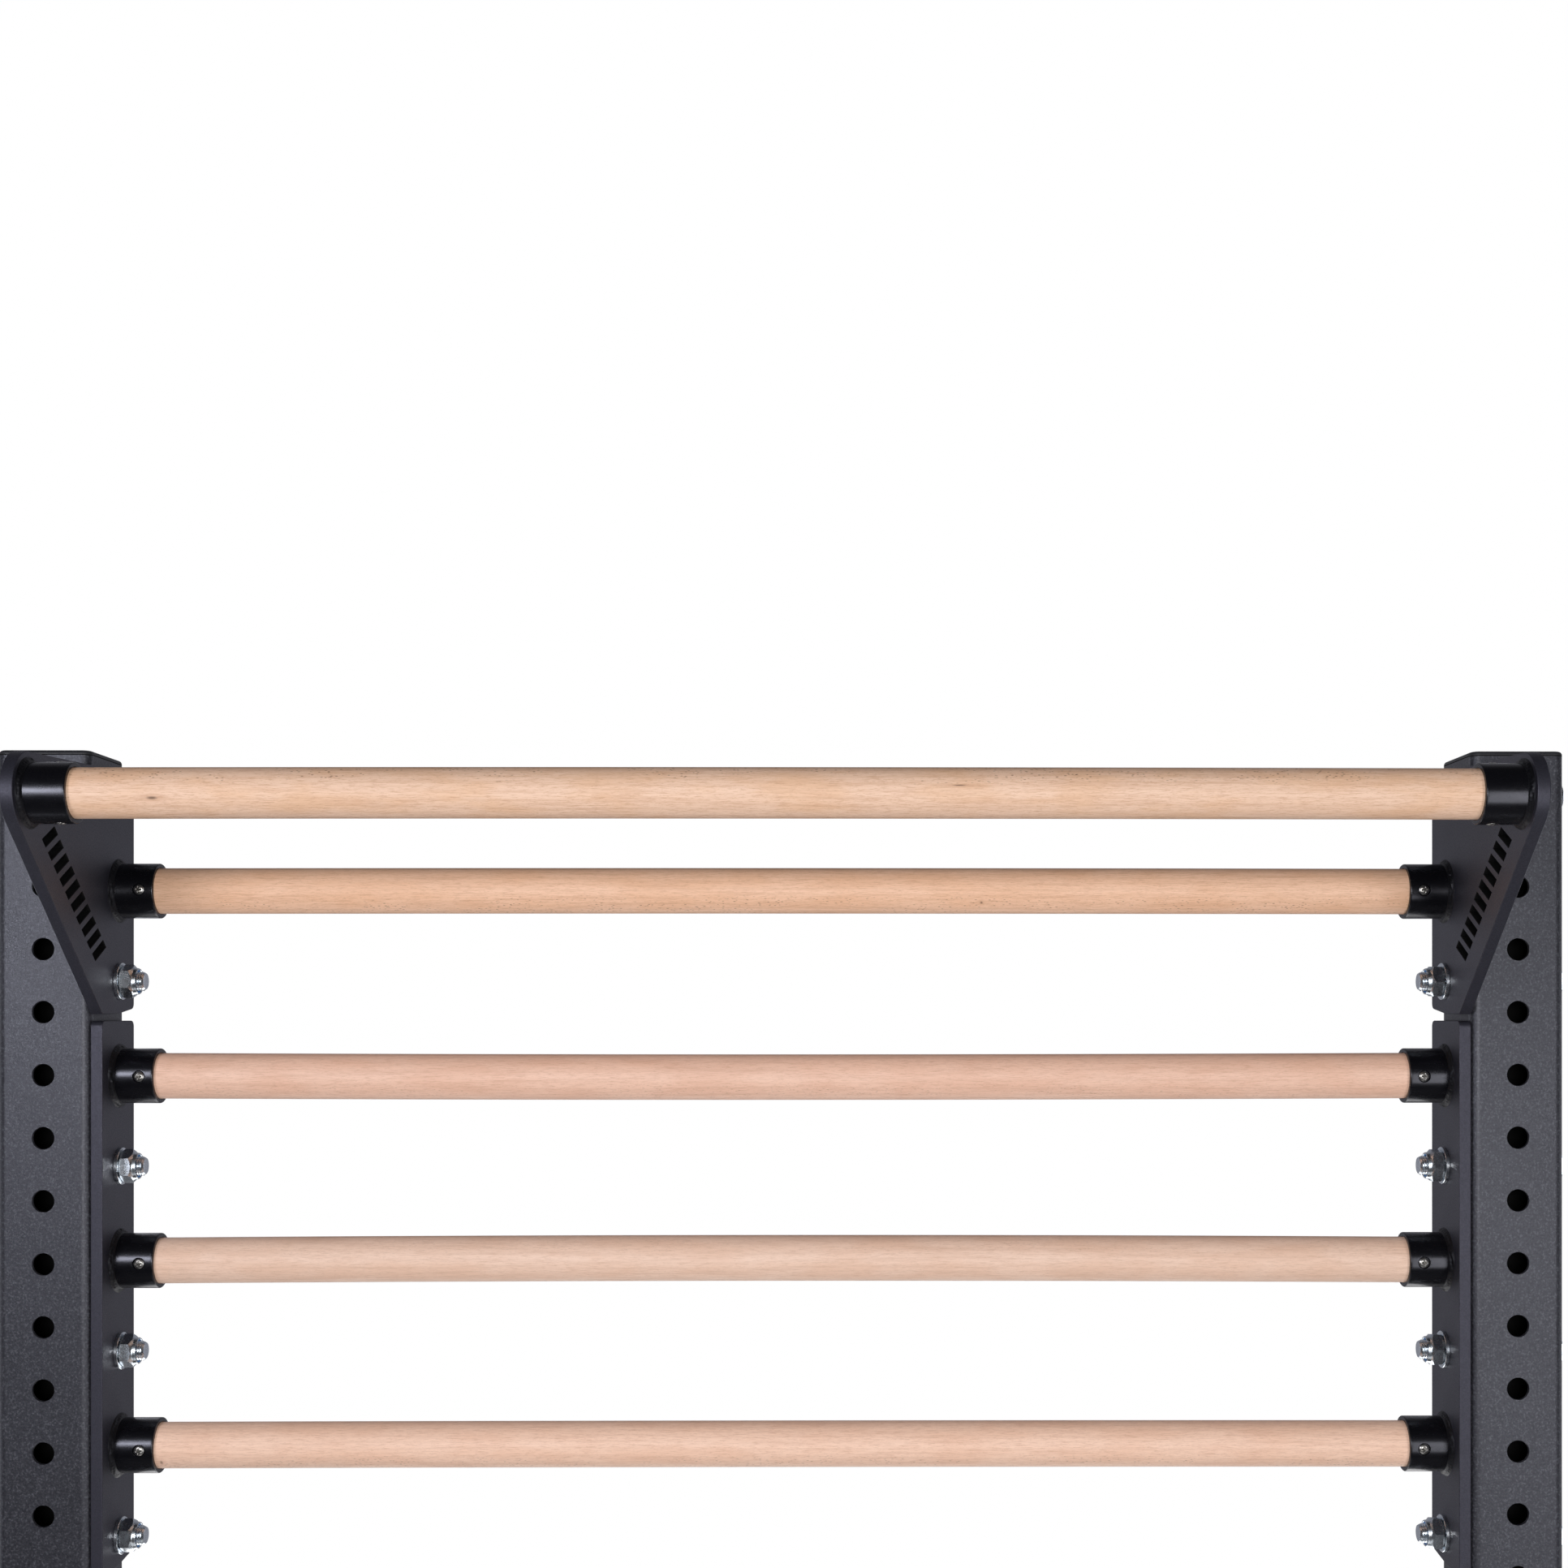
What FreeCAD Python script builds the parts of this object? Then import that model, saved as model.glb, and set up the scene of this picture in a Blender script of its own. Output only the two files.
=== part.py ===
import FreeCAD, Part
import math
import os
import Sketcher
from FreeCAD import Placement, Rotation, Vector

# Pull-up bar station: two perforated square uprights that carry a wooden pull-up bar on forward
# brackets, and four wooden wall-bar rungs behind it.
#
# Row frame: origin on the floor, midway between the uprights and midway between the front of the
# brackets and the back of the base plates.  +Z is up, +X to the user's right, -Y towards the user.
# All lengths are in millimetres.

SIZES = {
    # uprights
    "total_height": 2250,
    "tube_side": 75,
    "tube_wall": 3,
    "tube_corner": 8,
    "tube_spacing": 1172,
    "tube_back": 52.5,
    "hole_radius": 8.75,
    "hole_pitch": 50,
    "hole_count": 43,
    "front_hole_drop": 58,
    "side_hole_drop": 33,
    # moulded end caps
    "cap_flange": 4,
    "cap_edge": 3,
    "cap_plug_depth": 15,
    "cap_plug_wall": 2,
    "cap_clearance": 0.3,
    # floor plates
    "base_width": 160,
    "base_depth": 205,
    "base_thickness": 8,
    "base_corner": 12,
    "anchor_radius": 7,
    "anchor_across": 120,
    "anchor_along": 160,
    "base_weld_leg": 5,
    "base_weld_slope": 4.25,
    # side plates
    "plate_thickness": 9.5,
    "plate_front": 15,
    "plate_rear": 85,
    "plate_corner": 5,
    "plate_heel": 5,
    "plate_knee": 50,
    "knee_rise": 4.5,
    "bracket_rear_drop": 11,
    "bracket_bottom_drop": 209.5,
    "arm_radius": 30,
    "lower_top_drop": 215,
    "lower_bottom_drop": 657,
    # decorative slots in the arm
    "slot_count": 10,
    "slot_pitch": 14,
    "slot_width": 7.5,
    "slot_height": 22.5,
    "slot_lean": 9.5,
    "slot_angle": 40,
    "slot_start_back": -102,
    "slot_start_drop": 81.5,
    # wooden bars
    "bar_radius": 18.5,
    "bar_back": -125,
    "bar_drop": 50.2,
    "rung_back": 52.5,
    "rung_drop": 109.7,
    "rung_pitch": 150,
    "rung_count": 4,
    "bar_end_gap": 0.5,
    "bar_end_chamfer": 1.5,
    # welded sockets
    "socket_radius": 22.25,
    "socket_bore": 18.75,
    "rung_socket_length": 34,
    "bar_socket_length": 33.5,
    "weld_leg": 4.5,
    "weld_foot": 3.825,
    "weld_crown": 1.35,
    # wood screws
    "screw_inset": 11,
    "screw_recess_radius": 4.6,
    "screw_recess_depth": 1.6,
    "screw_clearance_radius": 2.3,
    "screw_head_radius": 4,
    "screw_head_height": 2.4,
    "screw_head_dome": 1.2,
    "screw_radius": 2,
    "screw_length": 19,
    "pilot_spare": 1,
    "pilot_clearance": 0.05,
    # bolts through the uprights
    "bolt_radius": 8,
    "bolt_count": 5,
    "bolt_pitch": 150,
    "bolt_head_flats": 24,
    "bolt_head_height": 9,
    "bolt_projection": 21.5,
    "bolt_end_chamfer": 1.5,
    "washer_radius": 15,
    "washer_bore": 8.5,
    "washer_thickness": 3,
    "nut_height": 10,
    "nut_collar_height": 3,
    "nut_collar_radius": 10.8,
    "nut_bore": 8.1,
    "insert_radius": 9.8,
    "insert_height": 2.2,
}

# the side of the frame: name, and +1 for the user's right
SIDES = {"left": -1, "right": 1}

# lengths and volumes smaller than these count as nothing
SAME_PLACE = 1e-3
NO_LENGTH = 1e-9
NO_VOLUME = 1e-3
PARALLEL = 1e-6

doc = FreeCAD.newDocument("pull_up_bar_station")
sheet = doc.addObject("Spreadsheet::Sheet", "sizes")
for row, (alias, number) in enumerate(SIZES.items(), start=1):
    sheet.set("A%d" % row, alias)
    sheet.set("B%d" % row, str(number))
    sheet.setAlias("B%d" % row, alias)
doc.recompute()

nodes = []


# ---- formulas shared by several parts -------------------------------------------------------

def size(alias):
    """The sheet cell, as it is written in an expression."""
    return "sizes." + alias


def height(drop):
    """Height above the floor of something that lies a given drop below the top."""
    return "(sizes.total_height - sizes.%s)" % drop


TUBE_X = "sizes.tube_spacing / 2"
TUBE_FACE = "(%s - sizes.tube_side / 2)" % TUBE_X
PLATE_FACE = "(%s - sizes.plate_thickness)" % TUBE_FACE
TUBE_OUTSIDE = "(%s + sizes.tube_side / 2)" % TUBE_X
TUBE_INSIDE = "(sizes.tube_side - 2 * sizes.tube_wall)"
TUBE_INNER_CORNER = "(sizes.tube_corner - sizes.tube_wall)"
SCREW_SEAT = "(sizes.socket_radius - sizes.screw_recess_depth)"


# ---- sketches and features ------------------------------------------------------------------

def new_body(label):
    """An empty body that becomes one node; a group of equal pieces is one body too."""
    body = doc.addObject("PartDesign::Body", label)
    body.Label = label
    body.AllowCompound = True
    nodes.append(body)
    return body


def origin_feature(body, role):
    """One of the body's own planes or axes."""
    return next(item for item in body.Origin.OriginFeatures if item.Role == role)


def new_sketch(body, name, plane, offset=None):
    """A sketch on one of the body's planes, moved along that plane's normal by a formula."""
    sketch = body.newObject("Sketcher::SketchObject", name)
    sketch.AttachmentSupport = [(origin_feature(body, plane), "")]
    sketch.MapMode = "FlatFace"
    if offset:
        sketch.setExpression(".AttachmentOffset.Base.z", offset)
    return sketch


def value(formula):
    """The number that a formula gives now."""
    return float(sheet.evalExpression(formula))


def constrain(sketch, kind, operands, formula):
    """Add a dimension whose size stays bound to a formula."""
    index = sketch.addConstraint(Sketcher.Constraint(kind, *operands, value(formula)))
    sketch.setExpression("Constraints[%d]" % index, formula)


def fix_point(sketch, line, end, across, up):
    """Tie one point of a sketch line to its distances from the sketch's origin."""
    for kind, formula, axis in (("DistanceX", across, -2), ("DistanceY", up, -1)):
        distance = value(formula)
        if abs(distance) < NO_LENGTH:
            sketch.addConstraint(Sketcher.Constraint("PointOnObject", line, end, axis))
        elif distance > 0:
            constrain(sketch, kind, (-1, 1, line, end), formula)
        else:
            constrain(sketch, kind, (line, end, -1, 1), "-(%s)" % formula)


def circle(sketch, across, up, radius):
    """A circle at a point given by formulas."""
    centre = Vector(value(across), value(up), 0)
    index = sketch.addGeometry(Part.Circle(centre, Vector(0, 0, 1), value(radius)), False)
    fix_point(sketch, index, 3, across, up)
    constrain(sketch, "Radius", (index,), radius)


def polygon(sketch, corners):
    """A closed outline of straight lines through corners given by pairs of formulas."""
    points = [Vector(value(across), value(up), 0) for across, up in corners]
    lines = []
    for start, end in zip(points, points[1:] + points[:1]):
        lines.append(sketch.addGeometry(Part.LineSegment(start, end), False))
    for line, following in zip(lines, lines[1:] + lines[:1]):
        sketch.addConstraint(Sketcher.Constraint("Coincident", line, 2, following, 1))
    for line, (across, up) in zip(lines, corners):
        fix_point(sketch, line, 1, across, up)


def rectangle(sketch, width, depth):
    """A rectangle centred on the sketch's origin."""
    corners = []
    for across, up in ((-1, -1), (1, -1), (1, 1), (-1, 1)):
        corners.append(("%d * %s / 2" % (across, width), "%d * %s / 2" % (up, depth)))
    polygon(sketch, corners)


def rounded_square(sketch, side, radius):
    """A square with round corners, centred on the sketch's origin."""
    reach = value("%s / 2" % side)
    round_off = value(radius)
    arcs = []
    for step in range(4):
        # corner directions, anticlockwise from the first quadrant
        across = 1 if step in (0, 3) else -1
        up = 1 if step < 2 else -1
        centre = Vector(across * (reach - round_off), up * (reach - round_off), 0)
        ring = Part.Circle(centre, Vector(0, 0, 1), round_off)
        start = math.radians(90 * step)
        arc = sketch.addGeometry(Part.ArcOfCircle(ring, start, start + math.pi / 2), False)
        fix_point(sketch, arc, 3, "%d * (%s / 2 - %s)" % (across, side, radius),
                  "%d * (%s / 2 - %s)" % (up, side, radius))
        constrain(sketch, "Radius", (arc,), radius)
        arcs.append(arc)
    for arc, following in zip(arcs, arcs[1:] + arcs[:1]):
        start = sketch.getPoint(arc, 2)
        end = sketch.getPoint(following, 1)
        line = sketch.addGeometry(Part.LineSegment(start, end), False)
        sketch.addConstraint(Sketcher.Constraint("Tangent", arc, 2, line, 1))
        sketch.addConstraint(Sketcher.Constraint("Tangent", line, 2, following, 1))


def hexagon(sketch, across_flats):
    """A hexagon centred on the sketch's origin, one corner up."""
    corners = []
    for step in range(6):
        angle = "(%d deg)" % (30 + 60 * step)
        reach = "%s / 2 / cos(30 deg)" % across_flats
        corners.append(("%s * cos%s" % (reach, angle), "%s * sin%s" % (reach, angle)))
    polygon(sketch, corners)


def pad(body, name, sketch, length, middle=False):
    """Raise a sketch along its normal, or half each way."""
    feature = body.newObject("PartDesign::Pad", name)
    feature.Profile = sketch
    feature.setExpression("Length", length)
    feature.Midplane = middle
    finish_feature(feature)
    return feature


def pocket(body, name, sketch, depth=None, reverse=False):
    """Cut a sketch into the body, right through both ways unless a depth is given."""
    before = body.Shape.Volume
    feature = body.newObject("PartDesign::Pocket", name)
    feature.Profile = sketch
    if depth:
        feature.setExpression("Length", depth)
        feature.Reversed = reverse
    else:
        feature.Type = "ThroughAll"
        feature.Midplane = True
    finish_feature(feature)
    if body.Shape.Volume > before - NO_VOLUME:
        raise RuntimeError(body.Label + ": " + name + " cuts nothing")
    return feature


def revolution(body, name, sketch, axis):
    """Turn a sketch once round a sketch axis."""
    feature = body.newObject("PartDesign::Revolution", name)
    feature.Profile = sketch
    feature.ReferenceAxis = (sketch, [axis])
    feature.Angle = 360
    finish_feature(feature)
    return feature


def pattern(body, name, originals, axis, pitch, count):
    """Repeat features in a row along one of the body's axes, downwards for Z."""
    feature = body.newObject("PartDesign::LinearPattern", name)
    feature.Originals = originals
    feature.Direction = (origin_feature(body, axis), [""])
    feature.Reversed = True
    feature.setExpression("Length", "%s * (%s - 1)" % (pitch, count))
    feature.setExpression("Occurrences", count)
    body.Tip = feature
    finish_feature(feature)
    return feature


def dress(body, kind, name, amount, chosen):
    """Fillet or chamfer the edges that a test chooses."""
    base = body.Tip
    names = []
    for number, edge in enumerate(base.Shape.Edges, start=1):
        if chosen(edge):
            names.append("Edge%d" % number)
    feature = body.newObject("PartDesign::" + kind, name)
    feature.Base = (base, names)
    if kind == "Fillet":
        feature.setExpression("Radius", amount)
    else:
        feature.setExpression("Size", amount)
    finish_feature(feature)
    return feature


def finish_feature(feature):
    """Recompute, and stop at once if the feature failed."""
    doc.recompute()
    if "Invalid" in feature.State or "Error" in feature.State:
        raise RuntimeError(feature.Label + " failed: " + str(feature.State))


def place(body, across, back, up, axis=Vector(0, 0, 1), turn=0):
    """Put a body in the row frame, turned about an axis through its own origin."""
    body.Placement = Placement(Vector(0, 0, 0), Rotation(axis, turn))
    body.setExpression(".Placement.Base.x", across)
    body.setExpression(".Placement.Base.y", back)
    body.setExpression(".Placement.Base.z", up)


def along(edge, axis):
    """Whether a straight edge runs along an axis."""
    if edge.Curve.TypeId != "Part::GeomLine":
        return False
    return abs(abs(edge.tangentAt(edge.FirstParameter).dot(axis)) - 1) < PARALLEL


def upright_edges(edge):
    return along(edge, Vector(0, 0, 1))


def cross_edges(edge):
    return along(edge, Vector(1, 0, 0))


def edges_at(level):
    """A test for edges that lie flat at a height given by a formula."""
    return lambda edge: abs(edge.BoundBox.ZMin - value(level)) < SAME_PLACE


# ---- uprights and what is on their ends -----------------------------------------------------

def upright(side, sign):
    """Square tube with a row of holes in front and back, and a staggered row in its sides."""
    body = new_body(side + "_upright")
    outline = new_sketch(body, side + "_tube_outline", "XY_Plane")
    rounded_square(outline, size("tube_side"), size("tube_corner"))
    rounded_square(outline, TUBE_INSIDE, TUBE_INNER_CORNER)
    length = "sizes.total_height - sizes.cap_flange - sizes.base_thickness"
    pad(body, side + "_tube", outline, length)
    for face, plane in (("front", "XZ_Plane"), ("side", "YZ_Plane")):
        hole = new_sketch(body, "%s_%s_hole_outline" % (side, face), plane)
        rise = "%s - sizes.base_thickness" % height(face + "_hole_drop")
        circle(hole, "0", rise, size("hole_radius"))
        first = pocket(body, "%s_%s_hole" % (side, face), hole)
        pattern(body, "%s_%s_holes" % (side, face), [first], "Z_Axis",
                size("hole_pitch"), size("hole_count"))
    place(body, "%d * %s" % (sign, TUBE_X), size("tube_back"), size("base_thickness"))


def top_cap(side, sign):
    """Plastic cap: a flange over the tube's end and a hollow plug inside it."""
    body = new_body(side + "_top_cap")
    flange = new_sketch(body, side + "_cap_flange_outline", "XY_Plane")
    rounded_square(flange, size("tube_side"), size("tube_corner"))
    pad(body, side + "_cap_flange", flange, size("cap_flange"))
    dress(body, "Fillet", side + "_cap_edge", size("cap_edge"), edges_at(size("cap_flange")))
    plug = new_sketch(body, side + "_cap_plug_outline", "XY_Plane", "-sizes.cap_plug_depth")
    plug_side = "(%s - 2 * sizes.cap_clearance)" % TUBE_INSIDE
    rounded_square(plug, plug_side, TUBE_INNER_CORNER)
    plug_hollow = "(%s - 2 * sizes.cap_plug_wall)" % plug_side
    rounded_square(plug, plug_hollow, "(%s - sizes.cap_plug_wall)" % TUBE_INNER_CORNER)
    pad(body, side + "_cap_plug", plug, size("cap_plug_depth"))
    place(body, "%d * %s" % (sign, TUBE_X), size("tube_back"), height("cap_flange"))


def base_plate(side, sign):
    """Floor plate with four anchor holes."""
    body = new_body(side + "_base_plate")
    outline = new_sketch(body, side + "_base_outline", "XY_Plane")
    rectangle(outline, size("base_width"), size("base_depth"))
    pad(body, side + "_base", outline, size("base_thickness"))
    dress(body, "Fillet", side + "_base_corners", size("base_corner"), upright_edges)
    holes = new_sketch(body, side + "_anchor_outline", "XY_Plane")
    for across in (-1, 1):
        for back in (-1, 1):
            circle(holes, "%d * sizes.anchor_across / 2" % across,
                   "%d * sizes.anchor_along / 2" % back, size("anchor_radius"))
    pocket(body, side + "_anchor_holes", holes)
    place(body, "%d * %s" % (sign, TUBE_X), size("tube_back"), "0")


def base_weld(side, sign):
    """Fillet weld round the foot of the tube."""
    body = new_body(side + "_base_weld")
    outline = new_sketch(body, side + "_base_weld_outline", "XY_Plane")
    rounded_square(outline, "(sizes.tube_side + 2 * sizes.base_weld_leg)",
                   "(sizes.tube_corner + sizes.base_weld_leg)")
    pad(body, side + "_base_weld_block", outline, size("base_weld_leg"))
    dress(body, "Chamfer", side + "_base_weld_slope", size("base_weld_slope"),
          edges_at(size("base_weld_leg")))
    inner = new_sketch(body, side + "_base_weld_inner_outline", "XY_Plane")
    rounded_square(inner, size("tube_side"), size("tube_corner"))
    pocket(body, side + "_base_weld_inside", inner)
    place(body, "%d * %s" % (sign, TUBE_X), size("tube_back"), size("base_thickness"))


# ---- side plates ----------------------------------------------------------------------------

def plate_holes(body, first, count):
    """Bolt holes in a side plate: a column in line with the tube's side holes."""
    holes = new_sketch(body, body.Label + "_hole_outline", "YZ_Plane")
    for number in range(first, first + count):
        rise = "%s - %d * sizes.bolt_pitch" % (height("side_hole_drop"), number)
        circle(holes, size("tube_back"), rise, size("hole_radius"))
    pocket(body, body.Label + "_holes", holes)


def plate_x(sign):
    """Where a plate's -X face lies, against the inner face of its tube."""
    return PLATE_FACE if sign > 0 else "-%s" % TUBE_FACE


def heel_height(drop):
    """Height of a side plate's lower rear corner, to which its bottom edge rises from a knee."""
    return "(%s + sizes.knee_rise)" % height(drop)


def heel_test(drop):
    """A test for the edge at the lower rear corner of a side plate."""
    rear = value(size("plate_rear"))
    bottom = value(heel_height(drop))

    def is_heel(edge):
        middle = edge.CenterOfMass
        at_corner = abs(middle.y - rear) < SAME_PLACE and abs(middle.z - bottom) < SAME_PLACE
        return cross_edges(edge) and at_corner

    return is_heel


def upper_bracket(side, sign):
    """Side plate whose arm reaches forward to the pull-up bar and ends in a round nose."""
    body = new_body(side + "_upper_bracket")
    outline = new_sketch(body, side + "_bracket_outline", "YZ_Plane")
    nose = Vector(value(size("bar_back")), value(height("bar_drop")), 0)
    radius = value(size("arm_radius"))
    corners = [
        (size("plate_front"), height("bracket_bottom_drop")),
        (size("plate_knee"), height("bracket_bottom_drop")),
        (size("plate_rear"), heel_height("bracket_bottom_drop")),
        (size("plate_rear"), height("bracket_rear_drop")),
    ]
    points = [Vector(value(across), value(up), 0) for across, up in corners]
    above = nose + Vector(0, radius, 0)
    # on the nose's circle, near where the sloping edge will meet it
    slope = math.radians(225)
    below = nose + Vector(math.cos(slope), math.sin(slope), 0) * radius
    chain = [below] + points + [above]
    lines = []
    for start, end in zip(chain, chain[1:]):
        lines.append(outline.addGeometry(Part.LineSegment(start, end), False))
    arc = Part.Arc(above, nose + Vector(-radius, 0, 0), below)
    round_end = outline.addGeometry(arc, False)
    for line, following in zip(lines, lines[1:]):
        outline.addConstraint(Sketcher.Constraint("Coincident", line, 2, following, 1))
    for line, (across, up) in zip(lines[1:], corners):
        fix_point(outline, line, 1, across, up)
    fix_point(outline, round_end, 3, size("bar_back"), height("bar_drop"))
    constrain(outline, "Radius", (round_end,), size("arm_radius"))
    outline.addConstraint(Sketcher.Constraint("Tangent", lines[-1], 2, round_end, 1))
    outline.addConstraint(Sketcher.Constraint("Tangent", round_end, 2, lines[0], 1))
    pad(body, side + "_bracket_plate", outline, size("plate_thickness"))

    heel = heel_test("bracket_bottom_drop")
    dress(body, "Fillet", side + "_bracket_heel", size("plate_heel"), heel)
    plate_holes(body, 0, 2)
    slots = new_sketch(body, side + "_slot_outline", "YZ_Plane")
    for number in range(int(value(size("slot_count")))):
        polygon(slots, slot_corners(number))
    pocket(body, side + "_slots", slots)
    place(body, plate_x(sign), "0", "0")


def slot_corners(number):
    """Corners of one leaning slot in the row that follows the arm's sloping edge."""
    corners = []
    for step, rise in ((0, 0), (1, 0), (1, 1), (0, 1)):
        run = "(%d * sizes.slot_pitch + %d * sizes.slot_width + %d * sizes.slot_lean)" % (
            number, step, rise)
        tall = "(%d * sizes.slot_height)" % rise
        turn = "(sizes.slot_angle * 1 deg)"
        across = "sizes.slot_start_back + %s * cos%s + %s * sin%s" % (run, turn, tall, turn)
        up = "%s - %s * sin%s + %s * cos%s" % (height("slot_start_drop"), run, turn, tall, turn)
        corners.append((across, up))
    return corners


def lower_side_plate(side, sign):
    """Plain side plate that carries the three lower rungs."""
    body = new_body(side + "_lower_side_plate")
    outline = new_sketch(body, side + "_lower_plate_outline", "YZ_Plane")
    polygon(outline, [
        (size("plate_front"), height("lower_bottom_drop")),
        (size("plate_knee"), height("lower_bottom_drop")),
        (size("plate_rear"), heel_height("lower_bottom_drop")),
        (size("plate_rear"), height("lower_top_drop")),
        (size("plate_front"), height("lower_top_drop")),
    ])
    pad(body, side + "_lower_plate", outline, size("plate_thickness"))
    heel = heel_test("lower_bottom_drop")
    dress(body, "Fillet", side + "_lower_heel", size("plate_heel"), heel)
    middle_z = value("%s / 2 + %s / 2" % (height("lower_bottom_drop"), height("lower_top_drop")))

    def sharp_corner(edge):
        middle = edge.CenterOfMass
        beside_heel = middle.z < middle_z and middle.y > value(size("plate_knee")) - SAME_PLACE
        return cross_edges(edge) and not beside_heel

    dress(body, "Fillet", side + "_lower_corners", size("plate_corner"), sharp_corner)
    plate_holes(body, 2, 3)
    place(body, plate_x(sign), "0", "0")


# ---- wooden bars and their sockets ----------------------------------------------------------

def wooden_bar(label, back, up, plane):
    """Round bar between the side plates, chamfered at its ends and drilled for its screws."""
    body = new_body(label)
    outline = new_sketch(body, label + "_outline", "YZ_Plane")
    circle(outline, "0", "0", size("bar_radius"))
    pad(body, label + "_round", outline, "2 * %s - 2 * sizes.bar_end_gap" % PLATE_FACE, middle=True)

    def end_edge(edge):
        return edge.Curve.TypeId == "Part::GeomCircle"

    dress(body, "Chamfer", label + "_ends", size("bar_end_chamfer"), end_edge)
    socket = "rung_socket_length" if plane == "XZ_Plane" else "bar_socket_length"
    reach = "%s - sizes.%s + sizes.screw_inset" % (PLATE_FACE, socket)
    pilot_radius = "sizes.screw_radius + sizes.pilot_clearance"
    if plane == "XZ_Plane":
        # one screw at each end, from the front: the pilot hole stops just past the screw's tip
        bottom = "(%s - sizes.screw_length - sizes.pilot_spare)" % SCREW_SEAT
        holes = new_sketch(body, label + "_pilot_outline", plane, bottom)
        for sign in SIDES.values():
            circle(holes, "%d * (%s)" % (sign, reach), "0", pilot_radius)
        pocket(body, label + "_pilots", holes, "sizes.bar_radius - %s" % bottom, reverse=True)
    else:
        # a screw from above and one from below at each end share one drilling
        holes = new_sketch(body, label + "_pilot_outline", plane)
        for sign in SIDES.values():
            circle(holes, "%d * (%s)" % (sign, reach), "0", pilot_radius)
        pocket(body, label + "_pilots", holes)
    place(body, "0", back, up)


def socket(label, length, sign, back, up, vertical):
    """Round steel socket with a counterbored screw hole in front, or above and below."""
    body = new_body(label)
    outline = new_sketch(body, label + "_outline", "YZ_Plane")
    circle(outline, "0", "0", size("socket_radius"))
    circle(outline, "0", "0", size("socket_bore"))
    pad(body, label + "_ring", outline, length)
    plane = "XY_Plane" if vertical else "XZ_Plane"
    hole = new_sketch(body, label + "_hole_outline", plane)
    circle(hole, size("screw_inset"), "0", size("screw_clearance_radius"))
    if vertical:
        pocket(body, label + "_hole", hole)
    else:
        pocket(body, label + "_hole", hole, size("socket_radius"), reverse=True)
    for facing in (1, -1) if vertical else (1,):
        name = "%s_recess_%s" % (label, "near" if facing > 0 else "far")
        recess = new_sketch(body, name + "_outline", plane, "%d * %s" % (facing, SCREW_SEAT))
        circle(recess, size("screw_inset"), "0", size("screw_recess_radius"))
        pocket(body, name, recess, size("screw_recess_depth"), reverse=facing > 0)
    rim = "(%s - %s)" % (PLATE_FACE, length)
    # the rim faces the middle of the bar, so the left socket is turned about Y
    place(body, "%d * %s" % (sign, rim), back, up, Vector(0, 1, 0), 0 if sign > 0 else 180)


def weld_beads(label, sign, back, up, count):
    """Fillet beads at the root of the sockets."""
    body = new_body(label)
    outline = new_sketch(body, label + "_outline", "XY_Plane")
    polygon(outline, [
        ("0", size("socket_radius")),
        ("-sizes.weld_leg", size("socket_radius")),
        ("-sizes.weld_foot", "sizes.socket_radius + sizes.weld_crown"),
        ("-sizes.weld_crown", "sizes.socket_radius + sizes.weld_foot"),
        ("0", "sizes.socket_radius + sizes.weld_leg"),
    ])
    bead = revolution(body, label + "_bead", outline, "H_Axis")
    if count:
        pattern(body, label + "_row", [bead], "Z_Axis", size("rung_pitch"), count)
    place(body, "%d * %s" % (sign, PLATE_FACE), back, up, turn=0 if sign > 0 else 180)


# ---- fasteners ------------------------------------------------------------------------------

def bolts(side, sign):
    """Hexagon bolts through the tube's sides and the side plate, heads outside."""
    body = new_body(side + "_bolts")
    head = new_sketch(body, side + "_bolt_head_outline", "YZ_Plane")
    hexagon(head, size("bolt_head_flats"))
    head_pad = pad(body, side + "_bolt_heads", head, size("bolt_head_height"))
    # the shank's own shape, turned about the bolt's axis, starts at the seat of the head
    shank = new_sketch(body, side + "_bolt_shank_outline", "XY_Plane")
    span = "(sizes.tube_side + sizes.plate_thickness + sizes.bolt_projection)"
    polygon(shank, [
        ("0", "0"),
        ("0", size("bolt_radius")),
        ("-%s + sizes.bolt_end_chamfer" % span, size("bolt_radius")),
        ("-%s" % span, "sizes.bolt_radius - sizes.bolt_end_chamfer"),
        ("-%s" % span, "0"),
    ])
    shank_turn = revolution(body, side + "_bolt_shank", shank, "H_Axis")
    pattern(body, side + "_bolt_row", [head_pad, shank_turn], "Z_Axis",
            size("bolt_pitch"), size("bolt_count"))
    place(body, "%d * %s" % (sign, TUBE_OUTSIDE), size("tube_back"), height("side_hole_drop"),
          turn=0 if sign > 0 else 180)


def washers(side, sign):
    """Flat washers on the inner face of the side plates."""
    body = new_body(side + "_washers")
    outline = new_sketch(body, side + "_washer_outline", "YZ_Plane", "-sizes.washer_thickness")
    circle(outline, "0", "0", size("washer_radius"))
    circle(outline, "0", "0", size("washer_bore"))
    ring = pad(body, side + "_washer", outline, size("washer_thickness"))
    pattern(body, side + "_washer_row", [ring], "Z_Axis", size("bolt_pitch"), size("bolt_count"))
    place(body, "%d * %s" % (sign, PLATE_FACE), size("tube_back"), height("side_hole_drop"),
          turn=0 if sign > 0 else 180)


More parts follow.
